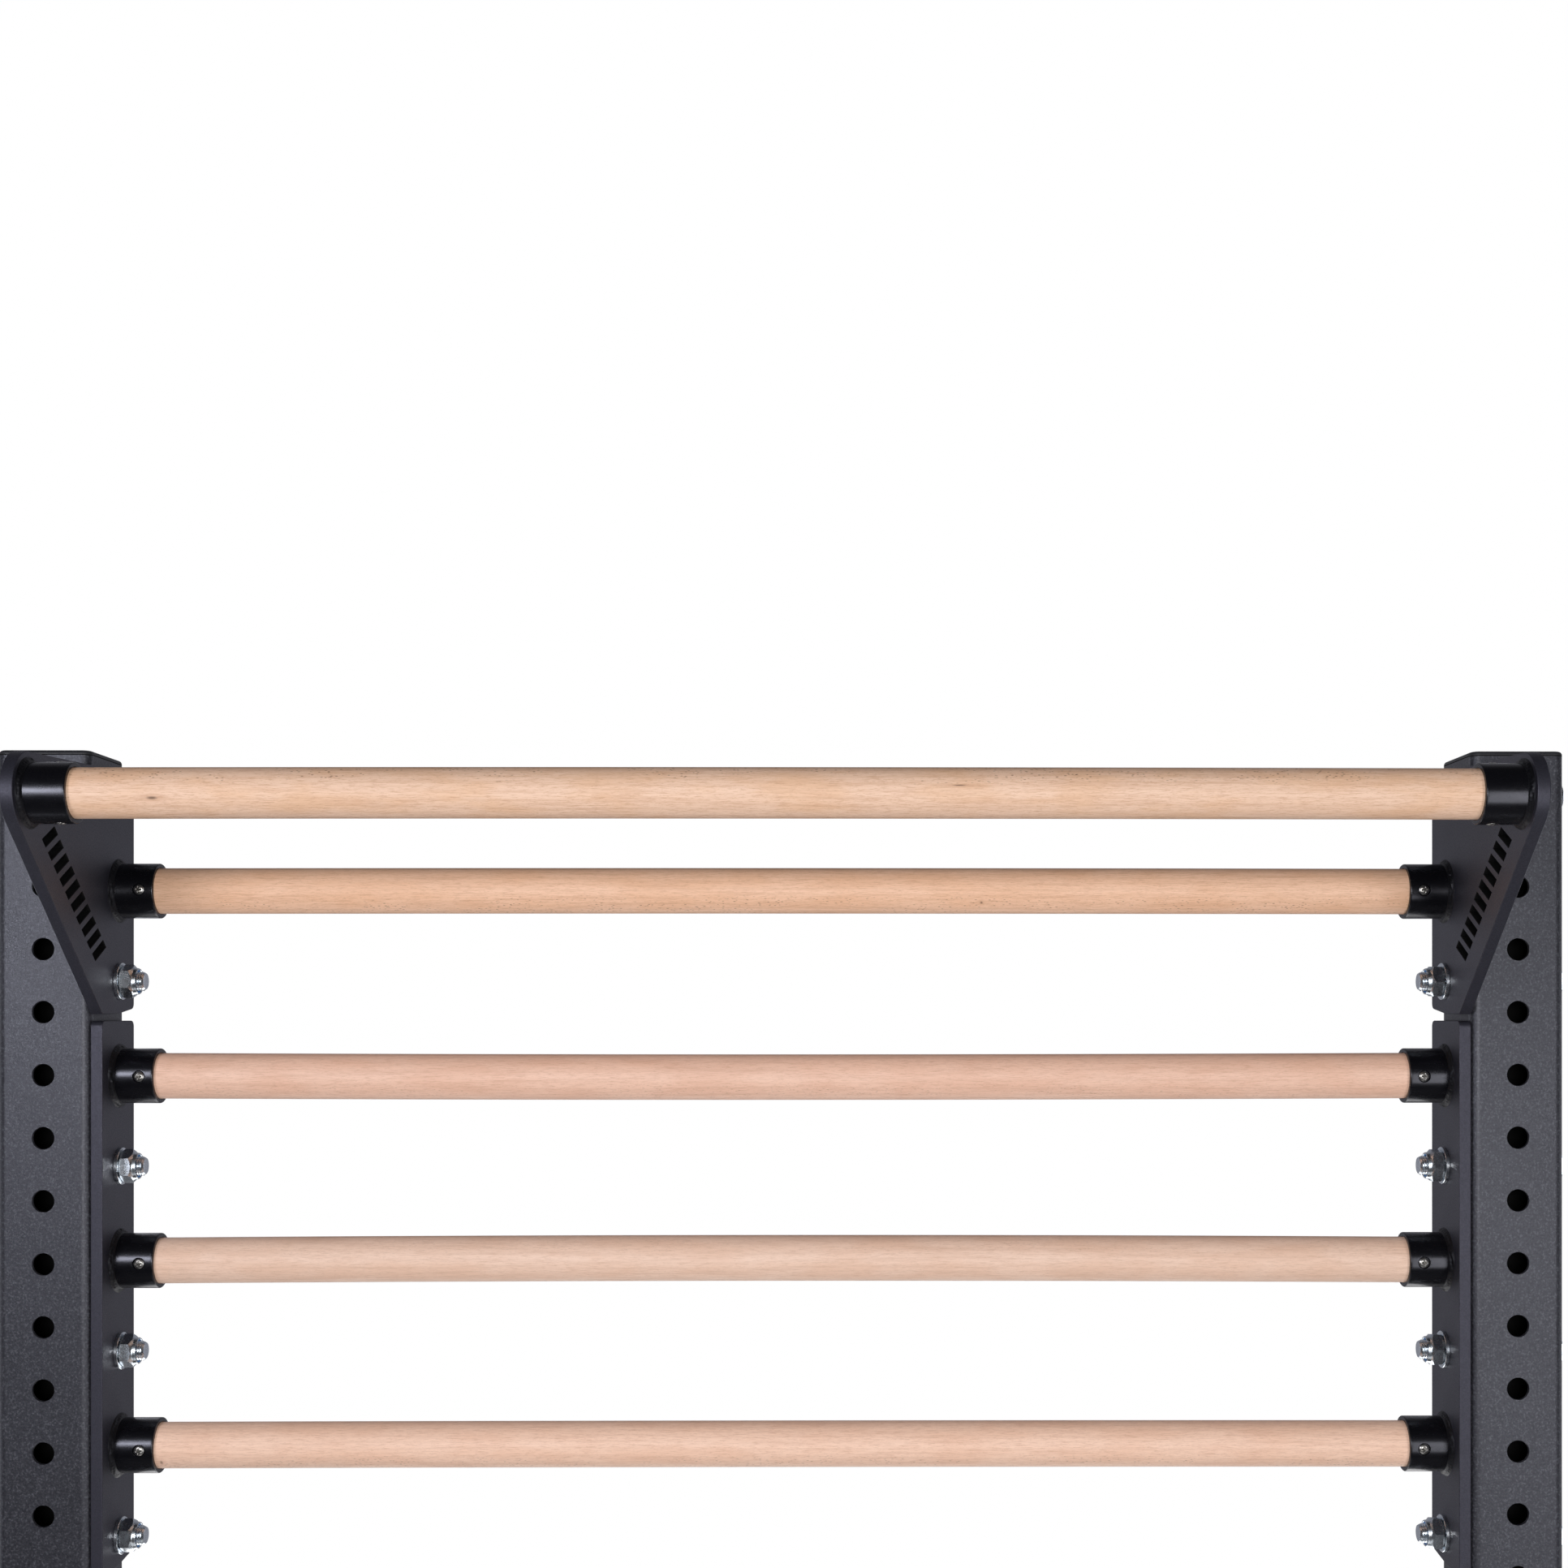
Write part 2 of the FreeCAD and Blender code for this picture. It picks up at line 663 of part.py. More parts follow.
def lock_nuts(side, sign):
    """Hexagon nuts with a round collar that holds the locking ring."""
    body = new_body(side + "_lock_nuts")
    seat = "sizes.washer_thickness + sizes.nut_height"
    flats = new_sketch(body, side + "_nut_outline", "YZ_Plane", "-(%s)" % seat)
    hexagon(flats, size("bolt_head_flats"))
    circle(flats, "0", "0", size("nut_bore"))
    block = pad(body, side + "_nut", flats, size("nut_height"))
    crown = "%s + sizes.nut_collar_height" % seat
    ring = new_sketch(body, side + "_nut_collar_outline", "YZ_Plane", "-(%s)" % crown)
    circle(ring, "0", "0", size("nut_collar_radius"))
    circle(ring, "0", "0", size("insert_radius"))
    collar = pad(body, side + "_nut_collar", ring, size("nut_collar_height"))
    pattern(body, side + "_nut_row", [block, collar], "Z_Axis",
            size("bolt_pitch"), size("bolt_count"))
    place(body, "%d * %s" % (sign, PLATE_FACE), size("tube_back"), height("side_hole_drop"),
          turn=0 if sign > 0 else 180)


def nut_inserts(side, sign):
    """Plastic locking rings inside the collars of the nuts."""
    body = new_body(side + "_nut_inserts")
    reach = "sizes.washer_thickness + sizes.nut_height + sizes.insert_height"
    outline = new_sketch(body, side + "_insert_outline", "YZ_Plane", "-(%s)" % reach)
    circle(outline, "0", "0", size("insert_radius"))
    circle(outline, "0", "0", size("nut_bore"))
    ring = pad(body, side + "_insert", outline, size("insert_height"))
    pattern(body, side + "_insert_row", [ring], "Z_Axis", size("bolt_pitch"), size("bolt_count"))
    place(body, "%d * %s" % (sign, PLATE_FACE), size("tube_back"), height("side_hole_drop"),
          turn=0 if sign > 0 else 180)


def screw_outline(sketch, facing):
    """Half of a domed wood screw along the sketch's vertical axis; facing is the head's way."""
    crown = "%s + sizes.screw_head_height" % SCREW_SEAT
    tip = "%s - sizes.screw_length" % SCREW_SEAT
    heights_and_radii = [
        (tip, "0"),
        (tip + " + sizes.screw_radius", size("screw_radius")),
        (SCREW_SEAT, size("screw_radius")),
        (SCREW_SEAT, size("screw_head_radius")),
        (crown + " - sizes.screw_head_dome", size("screw_head_radius")),
        (crown, "sizes.screw_head_radius / 2"),
        (crown, "0"),
    ]
    polygon(sketch, [(radius, "%d * (%s)" % (facing, up)) for up, radius in heights_and_radii])


def rung_screws(side, sign):
    """One screw through the front of each rung socket."""
    body = new_body(side + "_rung_screws")
    outline = new_sketch(body, side + "_rung_screw_outline", "XY_Plane")
    screw_outline(outline, -1)
    screw = revolution(body, side + "_rung_screw", outline, "V_Axis")
    pattern(body, side + "_rung_screw_row", [screw], "Z_Axis",
            size("rung_pitch"), size("rung_count"))
    reach = "(%s - sizes.rung_socket_length + sizes.screw_inset)" % PLATE_FACE
    place(body, "%d * %s" % (sign, reach), size("rung_back"), height("rung_drop"))


def bar_screws(side, sign):
    """A screw from above and one from below through the pull-up bar's socket."""
    body = new_body(side + "_bar_screws")
    for facing, name in ((1, "upper"), (-1, "lower")):
        outline = new_sketch(body, "%s_%s_screw_outline" % (side, name), "XZ_Plane")
        screw_outline(outline, facing)
        revolution(body, "%s_%s_screw" % (side, name), outline, "V_Axis")
    reach = "(%s - sizes.bar_socket_length + sizes.screw_inset)" % PLATE_FACE
    place(body, "%d * %s" % (sign, reach), size("bar_back"), height("bar_drop"))


# ---- the whole station ----------------------------------------------------------------------

for side, sign in SIDES.items():
    upright(side, sign)
    top_cap(side, sign)
    base_plate(side, sign)
    base_weld(side, sign)
    upper_bracket(side, sign)
    lower_side_plate(side, sign)
    bolts(side, sign)
    washers(side, sign)
    lock_nuts(side, sign)
    nut_inserts(side, sign)
    rung_screws(side, sign)
    bar_screws(side, sign)
    weld_beads(side + "_rung_welds", sign, size("rung_back"), height("rung_drop"),
               size("rung_count"))
    weld_beads(side + "_bar_weld", sign, size("bar_back"), height("bar_drop"), None)
    socket(side + "_bar_socket", size("bar_socket_length"), sign, size("bar_back"),
           height("bar_drop"), True)

wooden_bar("pull_up_bar", size("bar_back"), height("bar_drop"), "XY_Plane")
for number in range(int(value(size("rung_count")))):
    rung_height = "%s - %d * sizes.rung_pitch" % (height("rung_drop"), number)
    wooden_bar("rung_%d" % (number + 1), size("rung_back"), rung_height, "XZ_Plane")
    for side, sign in SIDES.items():
        socket("%s_rung_socket_%d" % (side, number + 1), size("rung_socket_length"), sign,
               size("rung_back"), rung_height, False)

doc.recompute()
for item in doc.Objects:
    if "Invalid" in item.State or "Error" in item.State:
        raise RuntimeError(item.Label + " failed: " + str(item.State))
os.makedirs("parts", exist_ok=True)
for body in nodes:
    shape = body.Shape
    if shape.isNull() or not shape.isValid():
        raise RuntimeError(body.Label + " has no valid shape")
    if not shape.Solids:
        raise RuntimeError(body.Label + " has no solid")
    shape.exportStep("parts/%s.step" % body.Label)
    print("%-26s %2d solids %12.1f mm3" % (body.Label, len(shape.Solids), shape.Volume))
print(len(nodes), "nodes")
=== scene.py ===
import math
import random

import bmesh
import bpy
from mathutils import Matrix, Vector, noise
from mathutils.geometry import tessellate_polygon


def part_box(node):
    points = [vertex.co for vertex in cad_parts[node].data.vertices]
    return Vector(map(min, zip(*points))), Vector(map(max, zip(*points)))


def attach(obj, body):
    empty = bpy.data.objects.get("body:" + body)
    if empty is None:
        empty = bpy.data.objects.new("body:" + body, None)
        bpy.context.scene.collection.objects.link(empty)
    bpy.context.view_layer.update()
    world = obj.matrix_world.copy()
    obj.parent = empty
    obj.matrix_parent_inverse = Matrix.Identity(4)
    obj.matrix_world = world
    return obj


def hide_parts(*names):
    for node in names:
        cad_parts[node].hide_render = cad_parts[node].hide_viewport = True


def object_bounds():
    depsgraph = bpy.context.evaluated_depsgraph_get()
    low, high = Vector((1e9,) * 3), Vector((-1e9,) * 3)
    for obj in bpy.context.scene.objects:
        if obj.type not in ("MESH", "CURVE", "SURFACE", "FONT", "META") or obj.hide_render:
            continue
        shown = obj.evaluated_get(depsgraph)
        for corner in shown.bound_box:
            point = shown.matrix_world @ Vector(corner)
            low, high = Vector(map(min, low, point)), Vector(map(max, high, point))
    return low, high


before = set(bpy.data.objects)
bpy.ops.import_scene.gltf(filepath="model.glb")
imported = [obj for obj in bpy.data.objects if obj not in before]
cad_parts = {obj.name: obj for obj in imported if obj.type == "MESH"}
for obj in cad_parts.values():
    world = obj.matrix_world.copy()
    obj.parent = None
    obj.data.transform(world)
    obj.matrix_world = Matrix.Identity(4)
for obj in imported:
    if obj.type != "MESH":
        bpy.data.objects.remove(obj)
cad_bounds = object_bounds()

# A pull-up bar station: two perforated uprights, a wooden pull-up bar on forward brackets and
# four wooden rungs.  Lengths are in millimetres here, and become metres in the meshes.
MM = 0.001
FULL_TURN = 2 * math.pi
QUARTER = math.pi / 2

# uprights
TUBE_SIDE = 75
TUBE_WALL = 3
TUBE_CORNER = 8
HOLE_RADIUS = 8.75
HOLE_PITCH = 50
HOLE_COUNT = 43
FRONT_HOLE_DROP = 58
SIDE_HOLE_DROP = 33
HOLE_EDGE = 0.3
CAP_FLANGE = 4
CAP_EDGE = 0.4
# side plates
PLATE_EDGE = 0.7
PLATE_THICKNESS = 9.5
PLATE_REAR = 85
PLATE_FRONT = 15
PLATE_CORNER = 5
PLATE_HEEL = 5
PLATE_KNEE = 50
KNEE_RISE = 4.5
BRACKET_REAR_DROP = 11
BRACKET_BOTTOM_DROP = 209.5
LOWER_TOP_DROP = 215
LOWER_BOTTOM_DROP = 657
ARM_RADIUS = 30
SLOT_COUNT = 10
SLOT_PITCH = 14
SLOT_WIDTH = 7.5
SLOT_HEIGHT = 22.5
SLOT_LEAN = 9.5
SLOT_ANGLE = math.radians(40)
SLOT_START_BACK = -102
SLOT_START_DROP = 81.5
# wooden bars and their sockets
BAR_RADIUS = 18.5
BAR_END_EDGE = 1.5
SOCKET_REACH = 34
RUNG_COUNT = 4
RUNG_PITCH = 150
SOCKET_RADIUS = 22.25
SOCKET_BORE = 18.75
SOCKET_EDGE = 0.9
BORE_EDGE = 0.3
RECESS_RADIUS = 4.6
RECESS_EDGE = 0.35
SCREW_INSET = 11
SCREW_SEAT = 20.65
SCREW_HEAD_RADIUS = 4
SCREW_HEAD_HEIGHT = 2.4
SCREW_RADIUS = 2
SCREW_LENGTH = 19
WELD_THROAT = 3.7
WELD_RIPPLE = 2.8
# floor plates
BASE_CORNER = 12
BASE_EDGE = 1
BASE_WELD_LEG = 5
BASE_WELD_RIPPLE = 2.6
WELD_ROUNDING = 0.35
ANCHOR_RADIUS = 7
ANCHOR_ACROSS = 120
ANCHOR_ALONG = 160
# bolts
BOLT_COUNT = 5
BOLT_PITCH = 150
BOLT_RADIUS = 8
BOLT_FLATS = 24
BOLT_RIM = BOLT_FLATS * 0.475
BOLT_HEAD_HEIGHT = 9
BOLT_PROJECTION = 21.5
BOLT_END_EDGE = 1.5
THREAD_LENGTH = 14
THREAD_PITCH = 2
THREAD_DEPTH = 1
WASHER_RADIUS = 15
WASHER_BORE = 8.5
WASHER_THICKNESS = 3
WASHER_EDGE = 0.35
NUT_HEIGHT = 10
NUT_BORE = 8.1
COLLAR_RADIUS = 10.8
COLLAR_HEIGHT = 3
INSERT_RADIUS = 9.8
INSERT_HEIGHT = 2.2
INSERT_EDGE = 0.3
INSERT_GAP = 0.05

# how finely round shapes are divided
CORNER_STEPS = 8
NOSE_STEPS = 36
HOLE_SEGMENTS = 48
SCREW_SEGMENTS = 48
RING_SEGMENTS = 64
BOLT_SEGMENTS = 72
BAR_SEGMENTS = 96
BEAD_STATIONS = 160
THREAD_STEPS = 8
FINE_SEGMENTS = 480
COARSE_SEGMENTS = 120
FINE_ROW = 0.3
COARSE_ROW = 1.5
SHARP_ANGLE = math.radians(32)
BEVEL_ANGLE = math.radians(40)

SIDES = {"left": -1, "right": 1}
TOP = cad_bounds[1][2] / MM


def box_mm(node):
    """Lowest and highest corner of a CAD node, in millimetres."""
    low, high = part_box(node)
    return low / MM, high / MM


def middle(node):
    """Middle of a CAD node's box, in millimetres."""
    return tuple((least + most) / 2 for least, most in zip(*box_mm(node)))


# ---- shapes ---------------------------------------------------------------------------------

class Shape:
    """Points and faces of closed solids, in millimetres; points in one place are shared."""

    def __init__(self):
        self.points = []
        self.faces = []
        self.finishes = []
        self.index_at = {}

    def point(self, position):
        key = tuple(round(value, 4) for value in position)
        if key not in self.index_at:
            self.index_at[key] = len(self.points)
            self.points.append(position)
        return self.index_at[key]

    def face(self, corners, finish=0):
        """Add a face, leaving out corners that fall together."""
        indices = []
        for corner in corners:
            index = self.point(corner)
            if index not in indices:
                indices.append(index)
        if len(indices) > 2:
            self.faces.append(indices)
            self.finishes.append(finish)

    def skin(self, loops, closed=False, finish=0):
        """Join loops of equally many points, one after the other."""
        following = loops[1:] + loops[:1] if closed else loops[1:]
        for first, second in zip(loops, following):
            for here in range(len(first)):
                there = (here + 1) % len(first)
                self.face((first[here], first[there], second[there], second[here]), finish)

    def lathe(self, spot, profile, segments, closed=False, start=0.0):
        """Turn (along, radius) pairs about an axis; either may be a function of the angle."""
        self.turn(spot, profile, [start + FULL_TURN * step / segments
                                  for step in range(segments)], closed)

    def turn(self, spot, profile, angles, closed=False):
        """Turn (along, radius) pairs about an axis, through the given angles."""
        loops = []
        for along, radius in profile:
            loop = []
            for angle in angles:
                reach = radius(angle) if callable(radius) else radius
                rise = along(angle) if callable(along) else along
                loop.append(spot(rise, reach, angle))
            loops.append(loop)
        self.skin(loops, closed)

    def slab(self, spot, outline, holes, thickness, edge, slots=()):
        """A plate with rounded edges; spot places (across, up, depth), and the walls of the
        slots have the second finish."""
        steps = 3
        insets = []
        for step in range(steps + 1):
            turn = QUARTER * step / steps
            insets.append((edge * (1 - math.sin(turn)), edge * (1 - math.cos(turn))))
        levels = insets + [(inset, thickness - depth) for inset, depth in reversed(insets)]
        rims = []
        walls = [(counterclockwise(outline, True), 0)]
        walls += [(counterclockwise(hole, False), 0) for hole in holes]
        walls += [(counterclockwise(slot, False), 1) for slot in slots]
        for loop, finish in walls:
            self.skin([[spot(*corner, depth) for corner in inset_loop(loop, inset)]
                       for inset, depth in levels], finish=finish)
            rims.append([Vector((*corner, 0)) for corner in inset_loop(loop, edge)])
        corners = [corner for rim in rims for corner in rim]
        for triangle in tessellate_polygon(rims):
            for depth in (0, thickness):
                self.face([spot(corners[i].x, corners[i].y, depth) for i in triangle])


def counterclockwise(loop, wanted):
    """The loop, turned round if it doesn't run the wanted way."""
    area = sum(a[0] * b[1] - b[0] * a[1] for a, b in zip(loop, loop[1:] + loop[:1]))
    return loop if (area > 0) == wanted else loop[::-1]


def inset_loop(loop, distance):
    """The loop moved into the material, which lies on its left."""
    moved = []
    for before, here, after in zip(loop[-1:] + loop[:-1], loop, loop[1:] + loop[:1]):
        first = (Vector(here) - Vector(before)).normalized()
        second = (Vector(after) - Vector(here)).normalized()
        normals = Vector((-first.y, first.x)) + Vector((-second.y, second.x))
        moved.append(tuple(Vector(here) + distance * normals / (1 + first.dot(second))))
    return moved


def arc(centre, radius, start, end, steps):
    """Points on an arc, both ends included."""
    points = []
    for step in range(steps + 1):
        angle = start + (end - start) * step / steps
        points.append((centre[0] + radius * math.cos(angle), centre[1] + radius * math.sin(angle)))
    return points


def ring(centre, radius, steps):
    return arc(centre, radius, 0, FULL_TURN, steps)[:-1]


def rounded_outline(corners):
    """A polygon whose corners are (across, up, radius)."""
    points = []
    for before, here, after in zip(corners[-1:] + corners[:-1], corners,
                                   corners[1:] + corners[:1]):
        corner = Vector(here[:2])
        if here[2] == 0:
            points.append(tuple(corner))
            continue
        back = (Vector(before[:2]) - corner).normalized()
        ahead = (Vector(after[:2]) - corner).normalized()
        half = back.angle(ahead) / 2
        centre = corner + (back + ahead).normalized() * here[2] / math.sin(half)
        start = corner + back * here[2] / math.tan(half) - centre
        sweep = math.copysign(math.pi - 2 * half, back.cross(ahead))
        first = math.atan2(start.y, start.x)
        points += arc(centre, here[2], first, first - sweep, CORNER_STEPS)
    return points


def about_x(x, y, z, facing=1):
    """Places (along, radius, angle) round an axis that runs along X."""
    return lambda along, radius, angle: (
        x + facing * along, y + radius * math.sin(angle), z + radius * math.cos(angle))


def about_y(x, y, z, facing):
    return lambda along, radius, angle: (
        x + radius * math.sin(angle), y + facing * along, z + radius * math.cos(angle))


def about_z(x, y, z, facing):
    return lambda along, radius, angle: (
        x + radius * math.sin(angle), y + radius * math.cos(angle), z + facing * along)


def add_piece(name, shape, finishes, replaced):
    """Make the shape a piece of the object that stands for a CAD node."""
    mesh = bpy.data.meshes.new(name)
    mesh.from_pydata([[value * MM for value in point] for point in shape.points], [], shape.faces)
    sheet = bmesh.new()
    sheet.from_mesh(mesh)
    bmesh.ops.recalc_face_normals(sheet, faces=sheet.faces)
    sheet.to_mesh(mesh)
    sheet.free()
    for finish in finishes:
        mesh.materials.append(finish)
    mesh.polygons.foreach_set("material_index", shape.finishes)
    mesh.polygons.foreach_set("use_smooth", [True] * len(mesh.polygons))
    mesh.set_sharp_from_angle(angle=SHARP_ANGLE)
    piece = bpy.data.objects.new(name, mesh)
    bpy.context.scene.collection.objects.link(piece)
    normals = piece.modifiers.new("even_shading", "WEIGHTED_NORMAL")
    normals.keep_sharp = True
    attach(piece, "root")
    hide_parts(replaced)


def finish_node(name, finish, edge):
    """Give a CAD node its finish, smooth shading and softly rounded edges."""
    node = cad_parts[name]
    for slot in node.material_slots:
        slot.material = finish
    weld = node.modifiers.new("joined_points", "WELD")
    weld.merge_threshold = 0.005 * MM
    rounding = node.modifiers.new("rounded_edges", "BEVEL")
    rounding.width = edge * MM
    rounding.segments = 2
    rounding.limit_method = "ANGLE"
    rounding.angle_limit = BEVEL_ANGLE
    rounding.harden_normals = True


# ---- materials ------------------------------------------------------------------------------

class Finish:
    """A material or a world, and short calls that add nodes to it."""

    def __init__(self, name, kind="materials"):
        self.block = getattr(bpy.data, kind).new(name)
        self.block.use_nodes = True
        self.tree = self.block.node_tree
        self.tree.nodes.clear()

    def feed(self, socket, given):
        """Link an output to a socket, or set the socket's value."""
        if isinstance(given, bpy.types.NodeSocket):
            self.tree.links.new(given, socket)
        else:
            socket.default_value = given

    def add(self, kind, sockets, output=0, **settings):
        """A node with its settings; its sockets take numbers, colours or other outputs."""
        node = self.tree.nodes.new("ShaderNode" + kind)
        for name, setting in settings.items():
            setattr(node, name, setting)
        for name, given in sockets.items():
            self.feed(node.inputs[name], given)
        return node.outputs[output] if node.outputs else None

    def here(self):
        """The row frame's coordinates, in metres."""
        return self.add("TexCoord", {}, output="Object")

    def place(self, scale, shift=(0, 0, 0)):
        """The same in millimetres, times a scale for all axes or one for each."""
        scales = scale if isinstance(scale, tuple) else (scale,) * 3
        return self.add("Mapping", {
            "Vector": self.here(), "Location": shift, "Scale": [value / MM for value in scales]})

    def cloud(self, vector, detail=3.0, roughness=0.5, distortion=0.0):
        """A noise between 0 and 1."""
        return self.add("TexNoise", {"Vector": vector, "Scale": 1.0, "Detail": detail,
                                     "Roughness": roughness, "Distortion": distortion})

    def ramp(self, factor, stops, way="EASE"):
        """A colour ramp; stops are (position, colour or grey)."""
        node = self.tree.nodes.new("ShaderNodeValToRGB")
        self.tree.links.new(factor, node.inputs["Fac"])
        node.color_ramp.interpolation = way
        elements = node.color_ramp.elements
        while len(elements) < len(stops):
            elements.new(0.5)
        for element, (position, colour) in zip(elements, stops):
            element.position = position
            shade = colour if isinstance(colour, tuple) else (colour,) * 3
            element.color = (*shade, 1)
        return node.outputs["Color"]

    def fade(self, factor, low, high, start=0.3, end=0.7):
        """A smooth change from one colour or grey to another."""
        return self.ramp(factor, ((start, low), (end, high)))

    def math(self, operation, *given):
        """Arithmetic on numbers or outputs."""
        return self.add("Math", dict(enumerate(given)), operation=operation)

    def mix(self, factor, first, second, blend="MIX"):
        """Mix two colours."""
        node = self.tree.nodes.new("ShaderNodeMix")
        node.data_type = "RGBA"
        node.blend_type = blend
        sockets = {socket.identifier: socket for socket in (*node.inputs, *node.outputs)}
        for key, given in (("Factor_Float", factor), ("A_Color", first), ("B_Color", second)):
            self.feed(sockets[key], (*given, 1) if isinstance(given, tuple) else given)
        return sockets["Result_Color"]

    def bump(self, height, depth, below=None):
        """A bump whose full height is depth, in millimetres, over a lower one."""
        sockets = {"Height": height, "Distance": depth * MM, "Strength": 1.0}
        if below:
            sockets["Normal"] = below
        return self.add("Bump", sockets)

    def surface(self, **sockets):
        """Close the material with a Principled surface."""
        shader = self.add("BsdfPrincipled", {
            name.replace("_", " "): given for name, given in sockets.items()})
        self.add("OutputMaterial", {"Surface": shader})
        return self.block


def wrinkle_coat():
    """Charcoal powder coat with a fine wrinkle."""
    finish = Finish("wrinkle_powder_coat")
    wrinkle = finish.cloud(finish.place(1.1), detail=2.5, roughness=0.6,
                           distortion=0.8)
    speckle = finish.cloud(finish.place(0.62, (7, 3, 1)), detail=2.0)
    patches = finish.cloud(finish.place(0.012))
    tone = finish.ramp(speckle, ((0.3, (0.010, 0.010, 0.013)), (0.52, (0.022, 0.022, 0.027)),
                                 (0.72, (0.064, 0.064, 0.074))))
    uneven = finish.fade(patches, 0.9, 1.0)
    colour = finish.mix(1.0, tone, uneven, "MULTIPLY")
    gloss = finish.fade(wrinkle, 0.47, 0.35)
    return finish.surface(Base_Color=colour, Roughness=gloss, Specular_Tint=(0.89, 0.90, 1.0, 1),
                          Normal=finish.bump(wrinkle, 0.14))


def painted_shade_steel(name):
    """Dark steel as painted shade inside the tubes and on the walls of the slots, where no light
    reaches.
    """
    finish = Finish(name)
    stain = finish.cloud(finish.place((0.05, 0.05, 0.01)), detail=4.0)
    colour = finish.fade(stain, (0.001, 0.001, 0.001), (0.003, 0.003, 0.003))
    return finish.surface(Base_Color=colour, Roughness=0.8, Specular_IOR_Level=0.12,
                          Normal=finish.bump(stain, 0.2))


def plate_coat():
    """Smoother dark powder coat with a bluish tone."""
    finish = Finish("plate_powder_coat")
    grain = finish.cloud(finish.place(0.9), roughness=0.55)
    waves = finish.cloud(finish.place(0.06, (4, 0, 2)), detail=2.0)
    tone = finish.fade(grain, (0.0115, 0.0115, 0.0155), (0.0195, 0.019, 0.026))
    uneven = finish.fade(waves, 0.92, 1.0)
    colour = finish.mix(1.0, tone, uneven, "MULTIPLY")
    gloss = finish.fade(grain, 0.54, 0.45)
    peel = finish.bump(waves, 0.1)
    return finish.surface(Base_Color=colour, Roughness=gloss, Specular_Tint=(0.84, 0.82, 1.0, 1),
                          Normal=finish.bump(grain, 0.05, below=peel))


def satin_black():
    """Satin black coat of the sockets."""
    finish = Finish("satin_black_coat")
    grain = finish.cloud(finish.place(0.8))
    scuffs = finish.cloud(finish.place((0.1, 0.35, 0.35), (1, 5, 2)), detail=4.0, roughness=0.7)
    tone = finish.fade(grain, (0.0018, 0.0018, 0.0026), (0.003, 0.003, 0.004))
    gloss = finish.fade(scuffs, 0.24, 0.28, 0.35, 0.7)
    return finish.surface(Base_Color=tone, Roughness=gloss, Specular_IOR_Level=0.44,
                          Specular_Tint=(0.90, 0.90, 1.0, 1), Normal=finish.bump(grain, 0.006))


def bead_coat():
    """The same coat, duller and sooty where it ran over the weld beads."""
    finish = Finish("bead_coat")
    grain = finish.cloud(finish.place(0.9, (2, 6, 1)))
    tone = finish.fade(grain, (0.0018, 0.0018, 0.0022), (0.004, 0.004, 0.005))
    gloss = finish.fade(grain, 0.38, 0.52, 0.35, 0.7)
    return finish.surface(Base_Color=tone, Roughness=gloss, Specular_IOR_Level=0.24,
                          Specular_Tint=(0.90, 0.90, 1.0, 1), Normal=finish.bump(grain, 0.02))


def cap_plastic():
    """Black moulded plastic with a fine spark-eroded texture."""
    finish = Finish("cap_plastic")
    grain = finish.cloud(finish.place(1.6), detail=2.0)
    tone = finish.fade(grain, (0.020, 0.020, 0.023), (0.032, 0.032, 0.036))
    gloss = finish.fade(grain, 0.42, 0.5)
    # painted shade in the joint under the rim, made matt there too
    height = finish.add("SeparateXYZ", {0: finish.here()}, output="Z")
    above = finish.math("MULTIPLY_ADD", height, 1 / MM, CAP_FLANGE - TOP)
    joint = finish.fade(finish.math("DIVIDE", above, CAP_FLANGE), 0.0, 1.0, 0.16, 0.30)
    shaded = finish.mix(joint, (0.001, 0.001, 0.001), tone)
    matt = finish.math("MAXIMUM", gloss, finish.math("SUBTRACT", 1.0, joint))
    return finish.surface(Base_Color=shaded, Roughness=matt, Specular_IOR_Level=0.4,
                          Normal=finish.bump(grain, 0.05))


def zinc_plate():
    """Bright zinc plating with a bluish tinge and small stains."""
    finish = Finish("zinc_plate")
    stains = finish.cloud(finish.place(0.22), detail=4.0, roughness=0.6)
    grain = finish.cloud(finish.place(2.5, (3, 3, 3)), detail=2.0)
    tone = finish.ramp(stains, ((0.3, (0.50, 0.55, 0.60)), (0.6, (0.68, 0.72, 0.76)),
                                (0.8, (0.62, 0.60, 0.56))))
    gloss = finish.fade(stains, 0.32, 0.21)
    return finish.surface(Base_Color=tone, Metallic=1.0, Roughness=gloss,
                          Normal=finish.bump(grain, 0.006))


def screw_steel():
    """Plain steel of the wood screws, slightly warm and tarnished."""
    finish = Finish("screw_steel")
    tarnish = finish.cloud(finish.place(0.6, (5, 1, 4)), detail=4.0, roughness=0.6)
    tone = finish.fade(tarnish, (0.22, 0.21, 0.20), (0.40, 0.39, 0.37))
    gloss = finish.fade(tarnish, 0.36, 0.26)
    return finish.surface(Base_Color=tone, Metallic=1.0, Roughness=gloss,
                          Normal=finish.bump(tarnish, 0.008))


def locking_nylon():
    """Blue nylon of the locking rings."""
    finish = Finish("locking_nylon")
    haze = finish.cloud(finish.place(0.5))
    tone = finish.fade(haze, (0.03, 0.16, 0.42), (0.05, 0.24, 0.55))
    return finish.surface(Base_Color=tone, Roughness=0.42, Normal=finish.bump(haze, 0.04))


